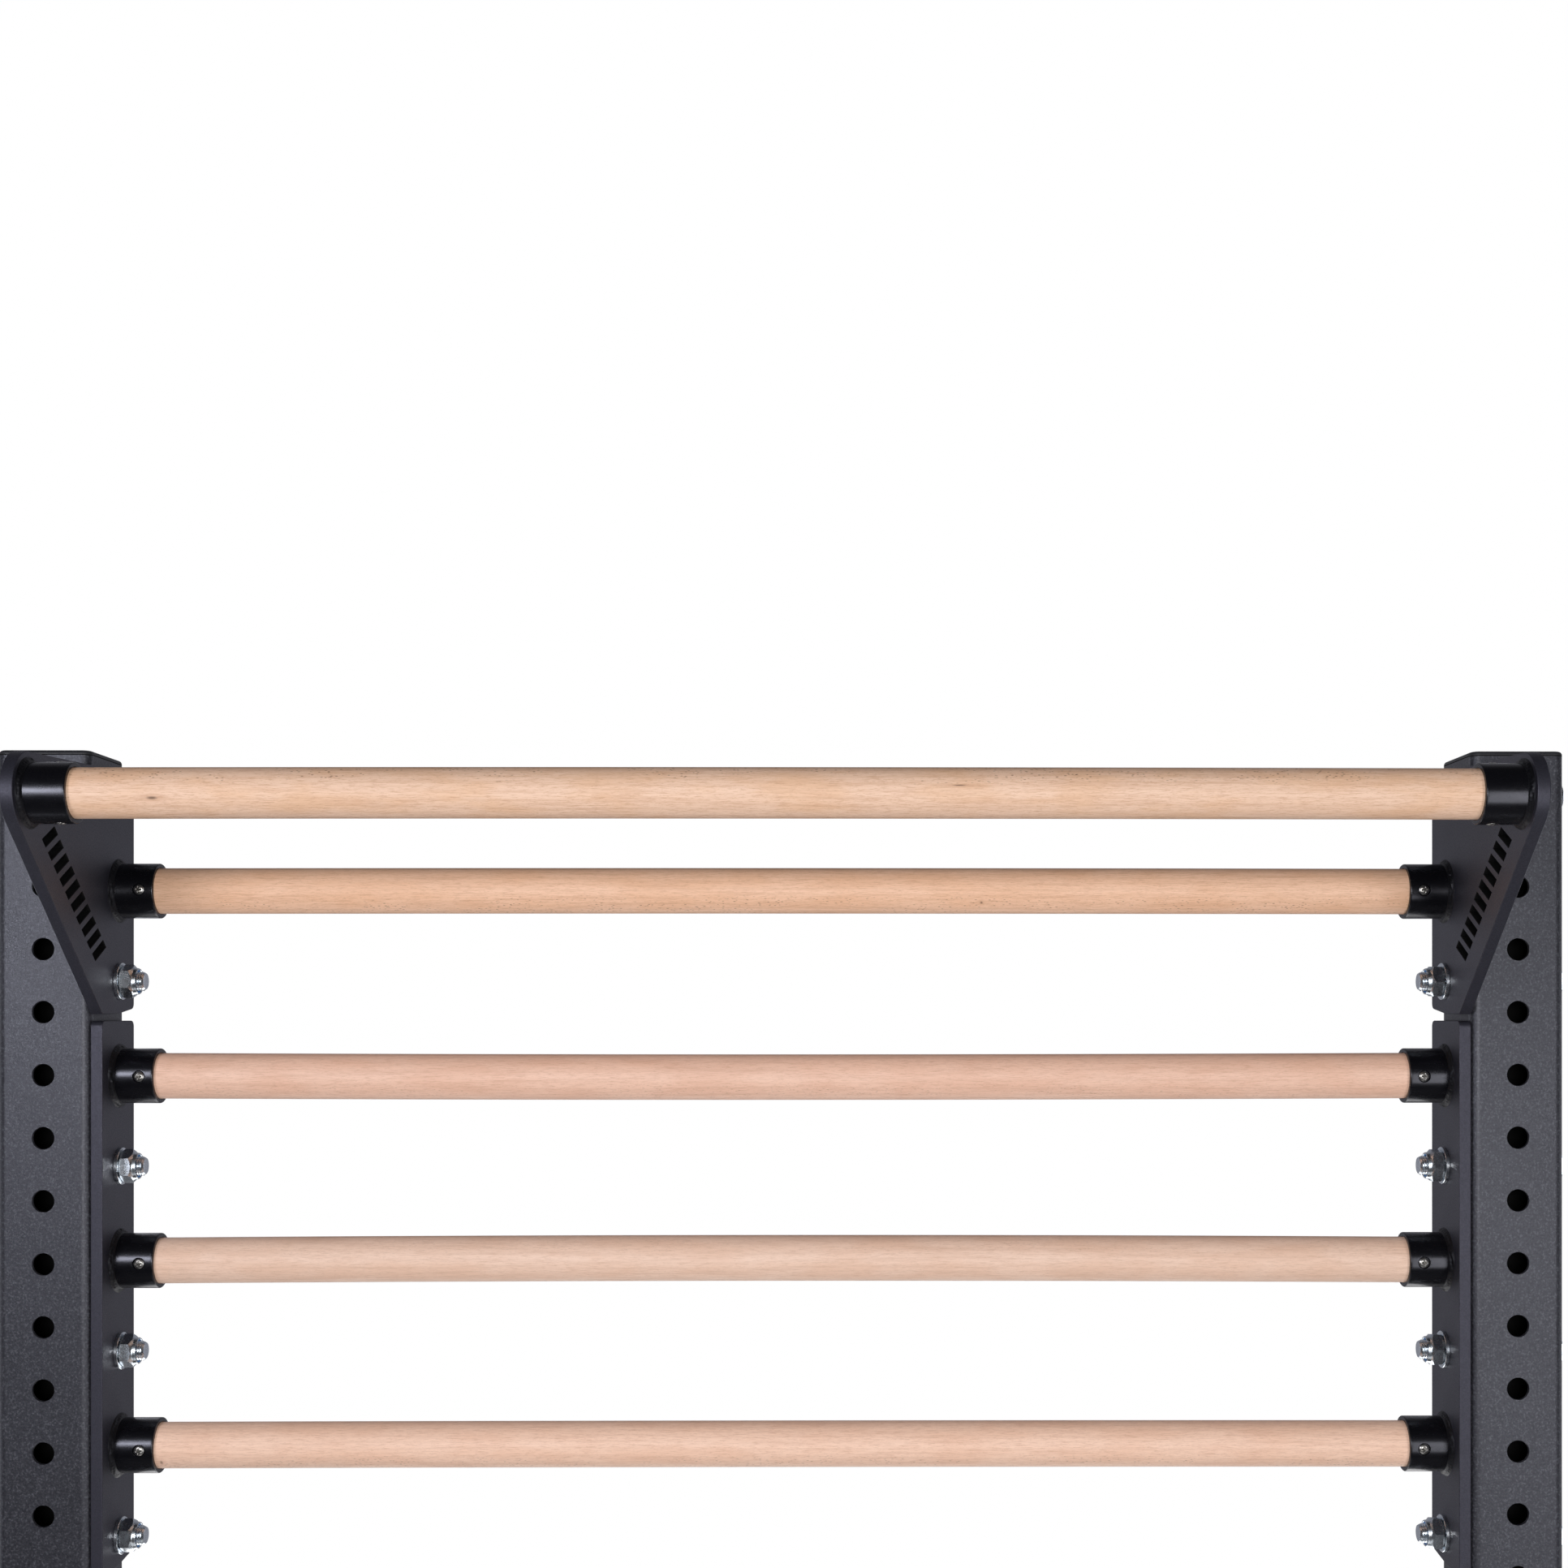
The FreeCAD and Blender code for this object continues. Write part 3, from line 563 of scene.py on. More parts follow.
def beech(name, centre, seed, tint, flecks):
    """Oiled beech: growth rings cut along the bar, ray flecks, pores and long streaks."""
    finish = Finish(name)
    draw = random.Random(seed)
    shift = [draw.uniform(-40, 40) for _ in range(3)]
    local = finish.add("VectorMath", {0: finish.here(), 1: [-value * MM for value in centre]},
                       operation="ADD")
    back = finish.add("SeparateXYZ", {0: local}, output="Y")
    up = finish.add("SeparateXYZ", {0: local}, output="Z")

    def spread(along, across, offset=0.0):
        moved = [value + offset for value in shift]
        return finish.add("Mapping", {
            "Vector": local, "Location": moved,
            "Scale": (along / MM, across / MM, across / MM)})

    def dots(vector):
        return finish.add("TexVoronoi", {"Vector": vector, "Scale": 1.0, "Randomness": 1.0},
                          output="Distance")

    # growth rings round a pith that lies off the bar's axis
    pith = draw.uniform(0, FULL_TURN)
    reach = draw.uniform(30, 60)
    wander = finish.cloud(spread(0.0022, 0.01), detail=2.0)
    side = finish.math("ADD", back, reach * MM * math.sin(pith))
    rise = finish.math("ADD", up, reach * MM * math.cos(pith))
    distance = finish.math("SQRT", finish.math(
        "ADD", finish.math("MULTIPLY", side, side), finish.math("MULTIPLY", rise, rise)))
    warped = finish.math("MULTIPLY_ADD", wander, 26 * MM, distance)
    rings = finish.math("FRACT", finish.math("MULTIPLY", warped, 1 / (4.6 * MM)))
    late = finish.ramp(rings, ((0.0, 0.0), (0.45, 0.1), (0.85, 1.0), (1.0, 0.0)))
    streaks = finish.cloud(spread(0.016, 0.42), detail=4.0, roughness=0.6)
    fibres = finish.cloud(spread(0.12, 1.5, 5), detail=4.0, roughness=0.7)
    blotches = finish.cloud(spread(0.016, 0.05, 9), roughness=0.55)
    pale, warm, deep = tint
    colour = finish.fade(blotches, warm, pale, 0.34, 0.60)
    streaked = finish.mix(finish.fade(streaks, 0.0, 0.42, 0.46, 0.78), colour, deep)
    ringed = finish.mix(finish.math("MULTIPLY", late, 0.13), streaked, deep)
    fibrous = finish.mix(finish.fade(fibres, 0.55, 0.0, 0.36, 0.52), ringed, deep)
    # short darker rays all over, and brown flecks that gather along one side of the bar
    ray = dots(spread(0.20, 0.95, 7))
    rayed = finish.mix(finish.fade(ray, 0.42, 0.0, 0.08, 0.26), fibrous, deep)
    dash = dots(spread(0.21, 0.62, 3))
    band = finish.cloud(spread(0.012, 0.07, 13), detail=2.0)
    height = finish.math("MULTIPLY_ADD", up, flecks[0] / (2 * BAR_RADIUS * MM), 0.5)
    gathered = finish.math("MULTIPLY", finish.fade(height, 0.0, 1.0, 0.55, 0.80),
                           finish.fade(band, 0.0, flecks[1], 0.40, 0.56))
    fleck = finish.math("MULTIPLY", finish.fade(dash, 1.0, 0.0, 0.13, 0.27), gathered)
    brown = tuple(value * 0.42 for value in deep)
    flecked = finish.mix(fleck, rayed, brown)
    gloss = finish.fade(streaks, 0.52, 0.62)
    relief = finish.bump(finish.math("SUBTRACT", fibres, fleck), 0.04)
    return finish, flecked, gloss, relief


def spot_on(finish, point, size, strength):
    """A soft oval mask round a point, for a knot."""
    away = finish.add("Mapping", {
        "Vector": finish.here(), "Location": [-p / s for p, s in zip(point, size)],
        "Scale": [1 / (s * MM) for s in size]})
    length = finish.add("VectorMath", {0: away}, output="Value", operation="LENGTH")
    return finish.math("MULTIPLY", finish.fade(length, 1.0, 0.0, 0.15, 1.0), strength)


# ---- the pieces -----------------------------------------------------------------------------

def tube(shape, x, y, bottom, top):
    """A square tube with holes in all four faces; its inside is a second finish."""
    half = TUBE_SIDE / 2
    flat = half - TUBE_CORNER
    inner = half - TUBE_WALL
    step = HOLE_PITCH / 2
    rows = [bottom, top]
    columns = {}
    for parity, drop in enumerate((FRONT_HOLE_DROP, SIDE_HOLE_DROP)):
        columns[parity] = [TOP - drop - HOLE_PITCH * number for number in range(HOLE_COUNT)]
        rows += [height + shift for height in columns[parity] for shift in (-step, 0, step)]
    rows = sorted(set(round(row, 3) for row in rows if bottom <= row <= top))
    edges = 10
    corner_steps = 6
    turns = [QUARTER * part / edges for part in range(edges + 1)]
    bends = [QUARTER * part / corner_steps for part in range(corner_steps + 1)]

    def bend(reach):
        """The round corner beside a face, at a distance from the corner's centre."""
        return [(flat + reach * math.sin(turn), flat + reach * math.cos(turn)) for turn in bends]

    for face in range(4):
        cosine = round(math.cos(QUARTER * face))
        sine = round(math.sin(QUARTER * face))

        def spot(across, out, up):
            return (x + across * cosine + out * sine, y + across * sine - out * cosine, up)

        heights = columns[face % 2]
        for out, radius, finish in ((half, HOLE_RADIUS + HOLE_EDGE, 0), (inner, HOLE_RADIUS, 1)):
            for height in heights:
                for way in (-1, 1):
                    for rise in (-1, 1):
                        corners = [(way * radius * math.cos(turn), rise * radius * math.sin(turn))
                                   for turn in turns]
                        corners += [(0, rise * step), (way * flat, rise * step), (way * flat, 0)]
                        shape.face([spot(across, out, height + up) for across, up in corners],
                                   finish)
            for low, high in ((bottom, min(heights) - step), (max(heights) + step, top)):
                between = [row for row in rows if low <= row <= high]
                corners = [(-flat, row) for row in between]
                if low == bottom:
                    corners.append((0, high))
                corners += [(flat, row) for row in reversed(between)]
                if low != bottom:
                    corners.append((0, low))
                shape.face([spot(across, out, up) for across, up in corners], finish)
        for height in heights:
            walls = []
            for out, radius in ((half, HOLE_RADIUS + HOLE_EDGE), (half - HOLE_EDGE, HOLE_RADIUS),
                                (inner, HOLE_RADIUS)):
                walls.append([spot(across, out, height + up)
                              for across, up in ring((0, 0), radius, 4 * edges)])
            shape.skin(walls)
        # the corner beside this face, and the tube's ends
        reaches = (TUBE_CORNER, TUBE_CORNER - TUBE_WALL)
        for finish, reach in enumerate(reaches):
            for low, high in zip(rows, rows[1:]):
                for first, second in zip(bend(reach), bend(reach)[1:]):
                    shape.face((spot(*first, low), spot(*second, low), spot(*second, high),
                                spot(*first, high)), finish)
        for up in (bottom, top):
            rims = [[(-flat, flat + reach)] + bend(reach) for reach in reaches]
            for (a, b), (c, d) in zip(zip(rims[0], rims[0][1:]), zip(rims[1], rims[1][1:])):
                shape.face((spot(*a, up), spot(*b, up), spot(*d, up), spot(*c, up)))


def tangent_angle(outside, centre, radius, way):
    """Angle at which a line from a point touches a circle, on one side of it."""
    away = Vector(outside) - Vector(centre)
    return math.atan2(away.y, away.x) + way * math.acos(radius / away.length)


def bolt_heights(count, first=0):
    return [TOP - SIDE_HOLE_DROP - BOLT_PITCH * number for number in range(first, first + count)]


def bracket_outline(bar_y, bar_z):
    """Outline of an upper bracket in (Y, Z): a straight back and a sloping arm with a nose."""
    nose = (bar_y, bar_z)
    above = tangent_angle((PLATE_REAR, TOP - BRACKET_REAR_DROP), nose, ARM_RADIUS, 1)
    below = tangent_angle((PLATE_FRONT, TOP - BRACKET_BOTTOM_DROP), nose, ARM_RADIUS, -1)
    outline = arc(nose, ARM_RADIUS, above, below + FULL_TURN, NOSE_STEPS)
    outline += rounded_outline([
        (PLATE_FRONT, TOP - BRACKET_BOTTOM_DROP, 0),
        (PLATE_KNEE, TOP - BRACKET_BOTTOM_DROP, 0),
        (PLATE_REAR, TOP - BRACKET_BOTTOM_DROP + KNEE_RISE, PLATE_HEEL),
        (PLATE_REAR, TOP - BRACKET_REAR_DROP, 0)])
    return outline


def slot_outlines():
    """Ten plain leaning slots that follow the sloping edge of the arm."""
    cosine = math.cos(SLOT_ANGLE)
    sine = math.sin(SLOT_ANGLE)
    outlines = []
    for number in range(SLOT_COUNT):
        corners = []
        for step, rise in ((0, 0), (1, 0), (1, 1), (0, 1)):
            run = number * SLOT_PITCH + step * SLOT_WIDTH + rise * SLOT_LEAN
            tall = rise * SLOT_HEIGHT
            corners.append((SLOT_START_BACK + run * cosine + tall * sine,
                            TOP - SLOT_START_DROP - run * sine + tall * cosine))
        outlines.append(corners)
    return outlines


def hexagon(turn):
    """A function from angle to the distance of a hexagon's side."""
    sixth = math.pi / 3
    return lambda angle: BOLT_FLATS / 2 / math.cos((angle - turn) % sixth - sixth / 2)


def hexagon_slope(turn, level, rise):
    """Height of a 30 degree chamfer where it meets the hexagon's sides."""
    side = hexagon(turn)
    return lambda angle: level - rise * (side(angle) - BOLT_RIM) * math.tan(math.pi / 6)


def thread(along):
    """Radius of a thread at a distance along the bolt, as a function of the angle."""
    def radius(angle):
        phase = (along / THREAD_PITCH + angle / FULL_TURN) % 1
        return BOLT_RADIUS - THREAD_DEPTH * min(1.0, abs(phase - 0.5) * 2.4)
    return radius


def bolt(shape, x, y, z, facing, turn):
    """A hexagon bolt whose threaded end shows past the nut; facing is the way its head looks."""
    sides = hexagon(turn)
    length = TUBE_SIDE + PLATE_THICKNESS + BOLT_PROJECTION
    profile = [(BOLT_HEAD_HEIGHT, 0), (BOLT_HEAD_HEIGHT, BOLT_RIM - 0.4),
               (BOLT_HEAD_HEIGHT - 0.1, BOLT_RIM),
               (hexagon_slope(turn, BOLT_HEAD_HEIGHT - 0.1, 1), sides),
               (0.4, sides), (0.4, BOLT_RIM), (0, BOLT_RIM - 0.4), (0, BOLT_RADIUS),
               (THREAD_LENGTH - length, BOLT_RADIUS)]
    steps = int((THREAD_LENGTH - BOLT_END_EDGE) / THREAD_PITCH * THREAD_STEPS)
    for step in range(1, steps + 1):
        along = THREAD_LENGTH - length - step * THREAD_PITCH / THREAD_STEPS
        profile.append((along, thread(along)))
    profile += [(-length + 0.1, BOLT_RADIUS - BOLT_END_EDGE), (-length, BOLT_RADIUS - 1.9),
                (-length, 0)]
    shape.lathe(about_x(x, y, z, facing), profile, BOLT_SEGMENTS, start=turn)


def lock_nut(shape, x, y, z, facing, turn):
    """A hexagon nut with a rounded collar rolled over its locking ring."""
    sides = hexagon(turn)
    crown = NUT_HEIGHT + COLLAR_HEIGHT
    profile = [(0.5, NUT_BORE), (0, NUT_BORE + 0.5), (0, BOLT_RIM),
               (hexagon_slope(turn, 0, -1), sides), (hexagon_slope(turn, NUT_HEIGHT, 1.6), sides),
               (NUT_HEIGHT, BOLT_RIM), (NUT_HEIGHT + 0.5, COLLAR_RADIUS + 0.2),
               (NUT_HEIGHT + 1.2, COLLAR_RADIUS), (NUT_HEIGHT + 2.3, COLLAR_RADIUS - 0.1),
               (NUT_HEIGHT + 3.0, COLLAR_RADIUS - 0.45), (crown, COLLAR_RADIUS - 1.1),
               (crown, INSERT_RADIUS - 0.3), (crown - 0.4, INSERT_RADIUS - 0.6),
               (crown - 0.9, INSERT_RADIUS), (NUT_HEIGHT, INSERT_RADIUS), (NUT_HEIGHT, NUT_BORE)]
    shape.lathe(about_x(x, y, z, facing), profile, BOLT_SEGMENTS, closed=True, start=turn)


def flat_ring(shape, spot, inner, outer, low, high, edge):
    """A ring with chamfered edges."""
    profile = [
        (low, inner + edge), (low, outer - edge), (low + edge, outer), (high - edge, outer),
        (high, outer - edge), (high, inner + edge), (high - edge, inner), (low + edge, inner)]
    shape.lathe(spot, profile, RING_SEGMENTS, closed=True)


def screw(shape, spot):
    """A domed wood screw with a cross recess; along runs outwards from the bar's axis."""
    crown = SCREW_SEAT + SCREW_HEAD_HEIGHT

    def dome(radius):
        def rise(angle):
            across = radius * math.cos(angle)
            up = radius * math.sin(angle)
            narrow = min(abs(across), abs(up))
            wide = max(abs(across), abs(up))
            depth = 1.3 * max(0, 1 - narrow / 0.9) * max(0, min(1, (2.6 - wide) / 0.9))
            return crown - 1.2 * (radius / SCREW_HEAD_RADIUS) ** 2.4 - depth
        return rise

    rings = 14
    profile = [(dome(0), 0)]
    for step in range(1, rings + 1):
        radius = SCREW_HEAD_RADIUS * step / rings
        profile.append((dome(radius), radius))
    profile += [(SCREW_SEAT, SCREW_HEAD_RADIUS), (SCREW_SEAT, SCREW_RADIUS),
                (SCREW_SEAT - SCREW_LENGTH + SCREW_RADIUS, SCREW_RADIUS),
                (SCREW_SEAT - SCREW_LENGTH, 0)]
    shape.lathe(spot, profile, SCREW_SEGMENTS)


def weld_bead(shape, path, leg, ripple, seed):
    """A closed fillet bead; path holds (place for (out, up), distance run) at each station."""
    draw = random.Random(seed)
    origin = Vector([draw.uniform(0, 90) for _ in range(3)])
    sections = 8
    loops = []
    for place, run in path:
        loop = [place(-0.3, -0.3)]
        for part in range(sections + 1):
            turn = QUARTER * part / sections
            straight = Vector((1 - part / sections, part / sections))
            round_out = Vector((math.cos(turn), math.sin(turn)))
            reach = leg * straight.lerp(round_out, WELD_ROUNDING)
            wave = abs(math.sin(math.pi * (run + 1.6 * math.sin(2 * turn)) / ripple))
            lump = noise.noise(origin + Vector((run * 0.16, part * 0.35, 0)))
            grit = noise.noise(origin + Vector((run * 0.9, part * 0.8, 7)))
            grow = 1 + math.sin(2 * turn) * (0.10 * wave - 0.12 + 0.24 * lump + 0.12 * grit)
            loop.append(place(*(reach * grow)))
        loops.append(loop)
    shape.skin(loops, closed=True)


def socket(shape, spot, length, screw_angles):
    """A round socket with its bore, and a counterbored seat for each screw; along starts at
    the side plate, and the mesh is finer round the seats."""
    screw_row = length - SCREW_INSET

    def apart(angle, screw_angle):
        """How far an angle is from a screw's, the short way round."""
        return (angle - screw_angle + math.pi) % FULL_TURN - math.pi

    def surface(along):
        """Radius of the outside, as a function of the angle."""
        def radius(angle):
            lowest = SOCKET_RADIUS
            for screw_angle in screw_angles:
                turned = apart(angle, screw_angle)
                away = math.hypot(along - screw_row, SOCKET_RADIUS * turned)
                if away > RECESS_RADIUS + RECESS_EDGE:
                    continue
                wall = (RECESS_RADIUS + RECESS_EDGE - away) / RECESS_EDGE
                floor_rise = SCREW_SEAT / max(math.cos(turned), 0.5)
                lowest = SOCKET_RADIUS + (floor_rise - SOCKET_RADIUS) * min(1.0, wall)
            return lowest
        return radius

    fine = RECESS_RADIUS + 2 * RECESS_EDGE
    angles = []
    angle = 0.0
    while angle < FULL_TURN - 1e-6:
        angles.append(angle)
        near = any(abs(apart(angle, screw_angle)) * SOCKET_RADIUS < fine + 1
                   for screw_angle in screw_angles)
        angle += FULL_TURN / (FINE_SEGMENTS if near else COARSE_SEGMENTS)
    rows = [0.0]
    while rows[-1] < length - SOCKET_EDGE - 0.2:
        rows.append(rows[-1] + (FINE_ROW if abs(rows[-1] - screw_row) < fine else COARSE_ROW))
    rows[-1] = length - SOCKET_EDGE
    profile = [(row, surface(row)) for row in rows]
    for step in range(1, 5):
        turn = QUARTER * step / 4
        profile.append((length - SOCKET_EDGE * (1 - math.sin(turn)),
                        SOCKET_RADIUS - SOCKET_EDGE * (1 - math.cos(turn))))
    profile += [(length, SOCKET_BORE + BORE_EDGE), (length - BORE_EDGE, SOCKET_BORE),
                (0.0, SOCKET_BORE)]
    shape.turn(spot, profile, angles, closed=True)


def socket_weld_path(x, y, z, sign):
    """Stations round a socket's root, on the face of a side plate."""
    path = []
    for step in range(BEAD_STATIONS):
        turn = FULL_TURN * step / BEAD_STATIONS
        along = math.sin(turn)
        above = math.cos(turn)
        path.append((lambda out, up, along=along, above=above: (
            x - sign * up, y + (SOCKET_RADIUS + out) * along, z + (SOCKET_RADIUS + out) * above),
            SOCKET_RADIUS * turn))
    return path


def tube_weld_path(x, y, z):
    """Stations round the foot of a tube, on its floor plate."""
    half = TUBE_SIDE / 2
    flat = half - TUBE_CORNER
    side_steps = 36
    corner_steps = 12
    stations = []
    for face in range(4):
        turn = QUARTER * face
        for step in range(side_steps):
            across = -flat + 2 * flat * step / side_steps
            stations.append(((across, -half), turn, 0.0))
        for step in range(corner_steps):
            stations.append(((flat, -flat), turn, QUARTER * step / corner_steps))
    path = []
    run = 0.0
    for (across, back), turn, bend in stations:
        def place(out, up, across=across, back=back, turn=turn, bend=bend):
            reach = out + (TUBE_CORNER if back == -flat else 0)
            local = (across + reach * math.sin(bend), back - reach * math.cos(bend))
            return (x + local[0] * math.cos(turn) - local[1] * math.sin(turn),
                    y + local[0] * math.sin(turn) + local[1] * math.cos(turn), z + up)
        path.append((place, run))
        run += (2 * flat / side_steps if back == -half
                else QUARTER * TUBE_CORNER / corner_steps)
    return path


def wooden_bar(shape, x_low, x_high, y, z, bow):
    """A turned bar with rounded ends and a slight natural bow."""
    straight = about_x(0, y, z)
    half = (x_high - x_low) / 2

    def spot(along, radius, angle):
        place = straight(along, radius, angle)
        offset = min(1.0, abs(along - (x_low + x_high) / 2) / (half - SOCKET_REACH))
        return (place[0], place[1], place[2] + bow * (1 - offset * offset))

    profile = [(x_low, 0), (x_low, BAR_RADIUS - BAR_END_EDGE)]
    ends = [(0.12, 0.75), (0.45, 0.3), (BAR_END_EDGE, 0)]
    profile += [(x_low + along, BAR_RADIUS - inset) for along, inset in ends]
    lengths = 40
    for step in range(1, lengths):
        profile.append((x_low + (x_high - x_low) * step / lengths, BAR_RADIUS))
    profile += [(x_high - along, BAR_RADIUS - inset) for along, inset in reversed(ends)]
    profile += [(x_high, BAR_RADIUS - BAR_END_EDGE), (x_high, 0)]
    shape.lathe(spot, profile, BAR_SEGMENTS)


# ---- building -------------------------------------------------------------------------------

COAT = wrinkle_coat()
# near-black painted shade inside the tubes and on the walls of the slots
TUBE_INSIDE_SHADE = painted_shade_steel("tube_inside_shade")
SLOT_WALL_SHADE = painted_shade_steel("slot_walls_shade")
PLATE = plate_coat()
SATIN = satin_black()
BEAD = bead_coat()
CAP = cap_plastic()
ZINC = zinc_plate()
SCREW_STEEL = screw_steel()
NYLON = locking_nylon()

# how far each nut is turned from a flat that faces the user, from the top down, in degrees
NUT_TURNS = {"left": (16, 7, 0, 1, -1), "right": (44, 28, 23, 37, 39)}


def inner_end(node, sign):
    """X of a node's end that looks at the other upright."""
    low, high = box_mm(node)
    return low.x if sign > 0 else high.x


def rung_places(side):
    """Y of the rungs, and their heights from the top down."""
    _, y, top_z = middle(side + "_rung_socket_1")
    return y, [top_z - RUNG_PITCH * number for number in range(RUNG_COUNT)]


def add_upright(side):
    """A tube and its cap, and the floor plate with its weld."""
    low, high = box_mm(side + "_upright")
    x, y, _ = middle(side + "_upright")
    shape = Shape()
    tube(shape, x, y, low.z, high.z)
    add_piece(side + "_upright_tube", shape, [COAT, TUBE_INSIDE_SHADE], side + "_upright")
    finish_node(side + "_top_cap", CAP, CAP_EDGE)

    low, high = box_mm(side + "_base_plate")
    outline = rounded_outline([
        (low.x, low.y, BASE_CORNER), (high.x, low.y, BASE_CORNER),
        (high.x, high.y, BASE_CORNER), (low.x, high.y, BASE_CORNER)])
    holes = [ring((x + across * ANCHOR_ACROSS / 2, y + along * ANCHOR_ALONG / 2),
                  ANCHOR_RADIUS, HOLE_SEGMENTS) for across in (-1, 1) for along in (-1, 1)]
    shape = Shape()
    shape.slab(lambda across, back, depth: (across, back, depth), outline, holes, high.z,
               BASE_EDGE)
    add_piece(side + "_foot_plate", shape, [COAT], side + "_base_plate")

    shape = Shape()
    weld_bead(shape, tube_weld_path(x, y, high.z), BASE_WELD_LEG, BASE_WELD_RIPPLE,
              side + "_foot")
    add_piece(side + "_foot_weld_bead", shape, [COAT], side + "_base_weld")


def add_side_plates(side):
    """The upper bracket, held by two bolts, and the lower side plate, held by three."""
    low, high = box_mm(side + "_upper_bracket")
    _, bolt_y, _ = middle(side + "_upright")
    _, bar_y, bar_z = middle(side + "_bar_socket")

    def spot(back, up, depth):
        return (low.x + depth, back, up)

    def bolt_holes(count, first):
        return [ring((bolt_y, height), HOLE_RADIUS, HOLE_SEGMENTS)
                for height in bolt_heights(count, first)]

    shape = Shape()
    shape.slab(spot, bracket_outline(bar_y, bar_z), bolt_holes(2, 0), high.x - low.x, PLATE_EDGE,
               slot_outlines())
    add_piece(side + "_bracket_plate", shape, [PLATE, SLOT_WALL_SHADE], side + "_upper_bracket")

    outline = rounded_outline([
        (PLATE_FRONT, TOP - LOWER_BOTTOM_DROP, PLATE_CORNER),
        (PLATE_KNEE, TOP - LOWER_BOTTOM_DROP, 0),
        (PLATE_REAR, TOP - LOWER_BOTTOM_DROP + KNEE_RISE, PLATE_HEEL),
        (PLATE_REAR, TOP - LOWER_TOP_DROP, PLATE_CORNER),
        (PLATE_FRONT, TOP - LOWER_TOP_DROP, PLATE_CORNER)])
    shape = Shape()
    shape.slab(spot, outline, bolt_holes(3, 2), high.x - low.x, PLATE_EDGE)
    add_piece(side + "_lower_plate", shape, [PLATE], side + "_lower_side_plate")


def add_sockets(side, sign):
    """The sockets and the weld beads round them."""
    face = inner_end(side + "_upper_bracket", sign)
    rung_y, heights = rung_places(side)
    _, bar_y, bar_z = middle(side + "_bar_socket")
    seats = [("%s_rung_socket_%d" % (side, number), rung_y, height, (-QUARTER,))
             for number, height in enumerate(heights, start=1)]
    seats.append((side + "_bar_socket", bar_y, bar_z, (0, math.pi)))
    for node, y, z, screw_angles in seats:
        low, high = box_mm(node)
        shape = Shape()
        socket(shape, about_x(face, y, z, -sign), high.x - low.x, screw_angles)
        add_piece(node + "_cup", shape, [SATIN], node)

    shape = Shape()
    for number, height in enumerate(heights):
        weld_bead(shape, socket_weld_path(face, rung_y, height, sign), WELD_THROAT, WELD_RIPPLE,
                  "%s_rung_%d" % (side, number))
    add_piece(side + "_rung_weld_beads", shape, [BEAD], side + "_rung_welds")
    shape = Shape()
    weld_bead(shape, socket_weld_path(face, bar_y, bar_z, sign), WELD_THROAT, WELD_RIPPLE,
              side + "_bar")
    add_piece(side + "_bar_weld_bead", shape, [BEAD], side + "_bar_weld")


def add_bolts(side, sign):
    """Bolts, washers, nuts and their locking rings."""
    draw = random.Random(side)
    outside = inner_end(side + "_upright", -sign)
    _, y, _ = middle(side + "_upright")
    face = inner_end(side + "_upper_bracket", sign)
    seat = face - sign * WASHER_THICKNESS
    bolts, washers, nuts, inserts = Shape(), Shape(), Shape(), Shape()
    for number, height in enumerate(bolt_heights(BOLT_COUNT)):
        head_turn = math.radians(30 if number == 0 else 0) + math.radians(draw.uniform(-4, 4))
        bolt(bolts, outside, y, height, sign, head_turn)
        flat_ring(washers, about_x(face, y, height, -sign), WASHER_BORE, WASHER_RADIUS,
                  0, WASHER_THICKNESS, WASHER_EDGE)
        lock_nut(nuts, seat, y, height, -sign, math.radians(NUT_TURNS[side][number]))
        flat_ring(inserts, about_x(seat, y, height, -sign), NUT_BORE, INSERT_RADIUS - INSERT_GAP,
                  NUT_HEIGHT + INSERT_GAP, NUT_HEIGHT + INSERT_HEIGHT, INSERT_EDGE)
    add_piece(side + "_hexagon_bolts", bolts, [ZINC], side + "_bolts")
    add_piece(side + "_flat_washers", washers, [ZINC], side + "_washers")
    add_piece(side + "_collar_nuts", nuts, [ZINC], side + "_lock_nuts")
    add_piece(side + "_locking_rings", inserts, [NYLON], side + "_nut_inserts")


def add_screws(side, sign):
    """One screw in the front of each rung socket, and two in the bar's socket."""
    rung_y, heights = rung_places(side)
    _, bar_y, bar_z = middle(side + "_bar_socket")
    x = inner_end(side + "_rung_socket_1", sign) + sign * SCREW_INSET
    shape = Shape()
    for height in heights:
        screw(shape, about_y(x, rung_y, height, -1))
    add_piece(side + "_rung_wood_screws", shape, [SCREW_STEEL], side + "_rung_screws")
    x = inner_end(side + "_bar_socket", sign) + sign * SCREW_INSET
    shape = Shape()
    for facing in (1, -1):
        screw(shape, about_z(x, bar_y, bar_z, facing))
    add_piece(side + "_bar_wood_screws", shape, [SCREW_STEEL], side + "_bar_screws")


for side, sign in SIDES.items():
    add_upright(side)
    add_side_plates(side)
    add_sockets(side, sign)
    add_bolts(side, sign)
    add_screws(side, sign)

# pale, warm and deep tones of each bar
TINTS = {
    "pull_up_bar": ((0.769, 0.529, 0.383), (0.731, 0.469, 0.306), (0.494, 0.267, 0.153)),
    "rung_1": ((0.797, 0.505, 0.341), (0.758, 0.458, 0.291), (0.518, 0.281, 0.164)),
    "rung_2": ((0.795, 0.518, 0.389), (0.757, 0.470, 0.342), (0.553, 0.317, 0.218)),
    "rung_3": ((0.791, 0.562, 0.437), (0.753, 0.509, 0.380), (0.579, 0.365, 0.257)),
    "rung_4": ((0.853, 0.582, 0.439), (0.813, 0.529, 0.386), (0.588, 0.339, 0.232)),
}
# where each bar's flecks gather, above (1) or below (-1), and how strong they are
FLECKS = {"pull_up_bar": (1, 0.95), "rung_1": (-1, 0.8), "rung_2": (-1, 0.35),
          "rung_3": (1, 0.2), "rung_4": (-1, 0.6)}
